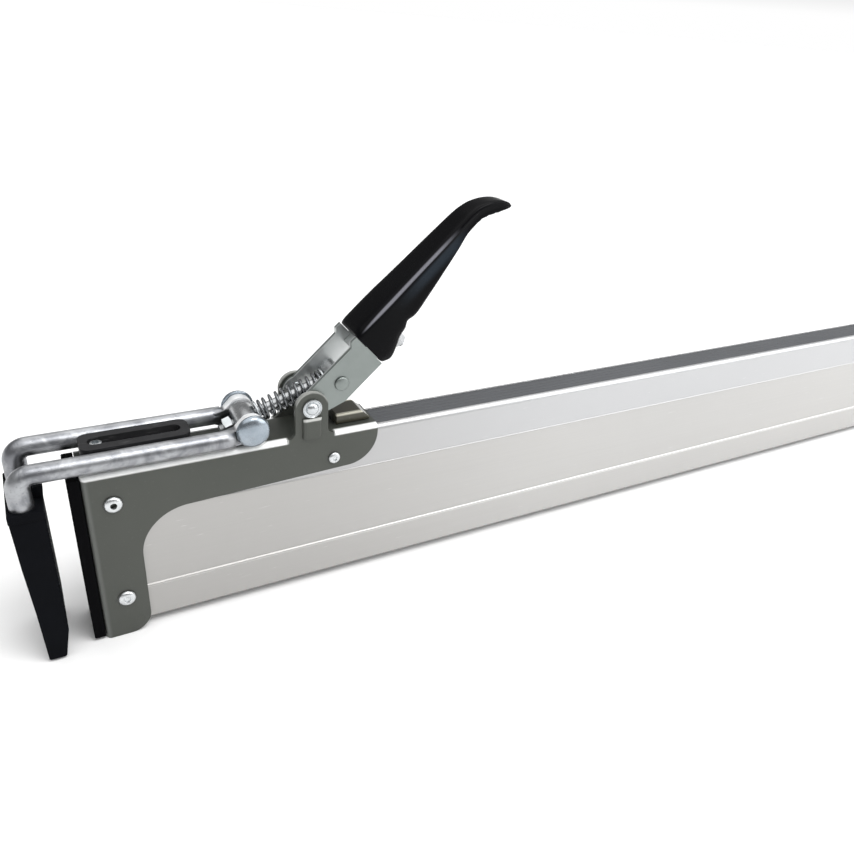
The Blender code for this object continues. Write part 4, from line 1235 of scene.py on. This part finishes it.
def buildCheek(side):
    make = cheekMake
    ring = arc((0, 0), 0.0080, 60, 215, 24)
    ring += [(0.0030, -0.0100), (0.0095, -0.0125)]
    ring += [(0.0150, -make["below"]), (make["length"], -make["below"])]
    ring += [(make["length"], make["tongueLow"]), (make["tongueEnd"], make["tongueLow"]),
             (make["tongueEnd"], make["tongueHigh"]), (make["length"], make["tongueHigh"])]
    ring += [(make["length"], make["step"]), (make["length"] - 0.0040, make["step"]),
             (make["length"] - 0.0060, make["above"]), (make["length"] - 0.0100, make["above"])]
    y = side * (cheekFace - make["thick"] / 2)
    place = leverPlace @ Matrix.Translation((0, y, 0)) @ sideView
    item = outlineSolid("leverCheek" + ofSide(side).title(), [ring], make["thick"], place)
    reach = Vector((0, 0.03, 0))
    item = cut(item, [roundBar("bore", 0.0031, pivot - reach, pivot + reach, 48),
                      roundBar("bore", 0.0027, linkPin - reach, linkPin + reach, 40)])
    return finished(eased(item, make["edge"], 3, 30), "lever", "cheek", ["lever_cheek_" + ofSide(side)])


buildCheek(front)
buildCheek(back)

bridgeHalf = cheekFace - cheekMake["thick"] - 0.0003
bridge = block("leverBridge", (0.0390, -bridgeHalf, -0.0020), (0.0550, bridgeHalf, 0.0005), leverPlace)
finished(eased(bridge, 0.0005, 3), "lever", "cheek", ["lever_bridge"])

# grip: moulded handle lofted along the lever, flat on top with a hooked tip
gripTop = [(0.0453, 0.0098), (0.050, 0.0106), (0.095, 0.0102), (0.127, 0.0098), (0.136, 0.0096),
           (0.143, 0.0086), (0.1495, 0.0060), (0.155, 0.0022), (0.1590, -0.0020), (0.1612, -0.0058)]
gripLow = [(0.0453, -0.0172), (0.0507, -0.0200), (0.059, -0.0165), (0.063, -0.0140), (0.069, -0.0124),
           (0.0725, -0.0100), (0.0775, -0.0112), (0.0915, -0.0088), (0.106, -0.0055), (0.121, -0.0018),
           (0.132, 0.0010), (0.1405, 0.0008), (0.146, -0.0012), (0.1545, -0.0062), (0.1590, -0.0085),
           (0.1612, -0.0092)]
gripWide = [(0.0453, 0.0134), (0.055, 0.0135), (0.100, 0.0113), (0.130, 0.0095), (0.145, 0.0079),
            (0.155, 0.0068), (0.1590, 0.0061), (0.1612, 0.0044)]
gripMake = {"stations": 78, "around": 64, "topPower": 0.30, "lowPower": 0.62, "waist": 0.0009,
            "ribStart": 0.1395, "ribEnd": 0.1530, "ribs": 6, "ribHeight": 0.0005,
            "screwAt": 0.0615}


def between(table, spot):
    # smooth reading of a table of (place, value)
    if spot <= table[0][0]:
        return table[0][1]
    for k in range(len(table) - 1):
        (x0, y0), (x1, y1) = table[k], table[k + 1]
        if spot <= x1:
            slopes = []
            for near in (k, k + 1):
                if near == 0 or near == len(table) - 1:
                    slopes.append((y1 - y0) / (x1 - x0))
                    continue
                before = (table[near][1] - table[near - 1][1]) / (table[near][0] - table[near - 1][0])
                after = (table[near + 1][1] - table[near][1]) / (table[near + 1][0] - table[near][0])
                slopes.append(0.0 if before * after <= 0 else 2 * before * after / (before + after))
            t = (spot - x0) / (x1 - x0)
            span = x1 - x0
            return ((2 * t ** 3 - 3 * t ** 2 + 1) * y0 + (t ** 3 - 2 * t ** 2 + t) * span * slopes[0]
                    + (-2 * t ** 3 + 3 * t ** 2) * y1 + (t ** 3 - t ** 2) * span * slopes[1])
    return table[-1][1]


def gripSection(spot, shrink=0.0):
    make = gripMake
    top = between(gripTop, spot) - shrink
    low = between(gripLow, spot) + shrink
    wide = between(gripWide, spot) - shrink
    middle = (top + low) / 2
    tall = (top - low) / 2
    points = []
    for k in range(make["around"]):
        turn = 2 * math.pi * (k + 0.5) / make["around"]
        c, s = math.cos(turn), math.sin(turn)
        power = make["topPower"] if s > 0 else make["lowPower"]
        across = math.copysign(abs(c) ** power, c) * wide
        rise = math.copysign(abs(s) ** power, s) * tall
        # the flanks are drawn in below the top edges, for the fingers
        sink = max(0.0, math.sin(math.pi * min(max((0.55 - rise / tall) / 1.2, 0), 1)))
        sink *= min(max((spot - 0.0640) / 0.0160, 0.0), 1.0)
        across -= math.copysign(make["waist"] * sink * min(1.0, wide / 0.010), across)
        if make["ribStart"] < spot < make["ribEnd"] and s < -0.3:
            share = (spot - make["ribStart"]) / (make["ribEnd"] - make["ribStart"])
            rise -= make["ribHeight"] * (0.5 - 0.5 * math.cos(2 * math.pi * make["ribs"] * share)) * min(1, -s)
        points.append((across, middle + rise))
    return points


def buildGrip():
    make = gripMake
    start, end = gripTop[0][0], gripTop[-1][0]
    # the first rows draw in to round the open end
    rows = [(start, 0.0009), (start + 0.0003, 0.0003), (start + 0.0009, 0.0)]
    rows += [(start + (end - start) * k / make["stations"], 0.0) for k in range(1, make["stations"] + 1)]
    shape = bmesh.new()
    rings = []
    for spot, shrink in rows:
        rings.append([shape.verts.new((spot, a, b)) for a, b in gripSection(spot, shrink)])
    around = make["around"]
    for first, second in zip(rings, rings[1:]):
        for k in range(around):
            after = (k + 1) % around
            shape.faces.new((first[k], first[after], second[after], second[k]))
    for ring, outward in ((rings[0], -1), (rings[-1], 1)):
        centre = sum((v.co for v in ring), Vector()) / around
        pole = shape.verts.new(centre + Vector((0.0006 * (outward > 0), 0, 0)))
        for k in range(around):
            shape.faces.new((ring[k], ring[(k + 1) % around], pole))
    bmesh.ops.transform(shape, matrix=leverPlace, verts=shape.verts)
    item = fromShape("grip", shape)
    gap = 0.0003
    cutters = []
    for side in (front, back):
        inner = cheekFace - cheekMake["thick"] - gap
        outer = cheekFace + gap
        cutters.append(block("pocket", (0.035, min(side * inner, side * outer), cheekMake["tongueLow"] - gap),
                             (cheekMake["tongueEnd"] + gap, max(side * inner, side * outer),
                              cheekMake["tongueHigh"] + gap), leverPlace))
    cutters.append(block("pocket", (0.035, -bridgeHalf - gap, -0.0020 - gap),
                         (0.0550 + gap, bridgeHalf + gap, 0.0005 + gap), leverPlace))
    below = leverPlace @ Vector((make["screwAt"], 0, -0.030))
    for radius, height, sides in ((0.0023, -0.0075, 32), (0.0053, -0.0145, 48)):
        cutters.append(roundBar("bore", radius, below, leverPlace @ Vector((make["screwAt"], 0, height)), sides))
    return cut(item, cutters)


finished(buildGrip(), "lever", "grip", ["grip"], 42)


def buildGripScrew():
    # stud, plain washer and a hexagon nut with chamfered corners
    seat = 0.0148
    place = leverPlace @ Matrix.Translation((gripMake["screwAt"], 0, 0)) @ Matrix.Rotation(math.pi, 4, "X")
    profile = [(0.0, seat + 0.0086), (0.0016, seat + 0.0086), (0.0021, seat + 0.0082)]
    height = seat + 0.0082
    while height - 0.0007 > seat + 0.0060:
        profile += [(0.0019, height - 0.0003), (0.0021, height - 0.0007)]
        height -= 0.0007
    profile += [(0.0021, seat + 0.0006), (0.0049, seat + 0.0006), (0.0050, seat + 0.0004), (0.0050, seat),
                (0.0020, seat), (0.0020, 0.0080), (0.0, 0.0080)]
    stud = turned("gripScrew", profile, place, 48)
    low, high = seat + 0.0005, seat + 0.0062
    nut = outlineSolid("nut", [arc((0, 0), 0.0049, 30, 330, 5)], high - low,
                       place @ Matrix.Translation((0, 0, (low + high) / 2)))
    cone = turned("cone", [(0.0, high), (0.0040, high), (0.0051, high - 0.0008), (0.0051, low + 0.0004),
                           (0.0044, low), (0.0, low)], place, 64)
    return cut(stud, [cut(nut, [cone], "INTERSECT")], "UNION")


finished(buildGripScrew(), "lever", "dullZinc", ["grip_screw"], 30)


print("stage")

stageMake = {
    "floorSize": 60.0, "floorDrop": 0.0002, "worldPower": 1.0, "sunPower": 1.25, "sunAngle": 30.0,
    "sunFrom": (0.30, -0.40, 1.0), "sidePower": 16.0, "sideSize": (1.6, 1.2), "sideSpot": (1.8, -0.9, 0.9),
}

floorMesh = bpy.data.meshes.new("paleFloor")
reach = stageMake["floorSize"]
floorZ = cadBox[0].z - stageMake["floorDrop"]
floorMesh.from_pydata([(-reach, -reach, floorZ), (reach, -reach, floorZ), (reach, reach, floorZ),
                       (-reach, reach, floorZ)], [], [(0, 1, 2, 3)])
floor = linked("paleFloor", floorMesh)
floor.data.materials.append(paleFloor())

# a room that is pale at floor level and dimmer overhead
world = bpy.data.worlds.new("soft room")
bpy.context.scene.world = world
world.use_nodes = True
room = world.node_tree
toward = room.nodes.new("ShaderNodeTexCoord")
split = room.nodes.new("ShaderNodeSeparateXYZ")
fade = room.nodes.new("ShaderNodeValToRGB")
stops = [(0.0, 1.0), (0.03, 1.0), (0.10, 0.40), (0.55, 0.22), (0.72, 1.25), (1.0, 1.7)]
while len(fade.color_ramp.elements) < len(stops):
    fade.color_ramp.elements.new(0.5)
for element, (spot, grey) in zip(fade.color_ramp.elements, stops):
    element.position = spot
    element.color = (grey, grey, grey, 1.0)
room.links.new(toward.outputs["Generated"], split.inputs[0])
room.links.new(split.outputs["Z"], fade.inputs[0])
room.links.new(fade.outputs[0], room.nodes["Background"].inputs["Color"])
room.nodes["Background"].inputs["Strength"].default_value = stageMake["worldPower"]


def lampAt(name, kind, power, spot, target):
    lamp = bpy.data.lights.new(name, kind)
    lamp.energy = power
    item = linked(name, lamp)
    item.location = spot
    item.rotation_euler = (Vector(target) - Vector(spot)).to_track_quat("-Z", "Y").to_euler()
    return lamp


sun = lampAt("softSun", "SUN", stageMake["sunPower"], stageMake["sunFrom"], (0, 0, 0))
sun.angle = math.radians(stageMake["sunAngle"])
side = lampAt("sideLight", "AREA", stageMake["sidePower"], stageMake["sideSpot"], (0.8, -0.1, 0))
side.shape = "RECTANGLE"
side.size, side.size_y = stageMake["sideSize"]

camera = bpy.data.cameras.new("camera")
camera.sensor_width = 36.0
camera.lens = 31.585
camera.clip_start = 0.01
camera.clip_end = 200.0
eye = linked("camera", camera)
eye.location = (-0.002765, -0.362489, 0.266024)
eye.rotation_euler = [math.radians(angle) for angle in (61.0787, -4.2855, -28.0987)]
bpy.context.scene.camera = eye
bpy.context.scene.view_settings.view_transform = "Standard"
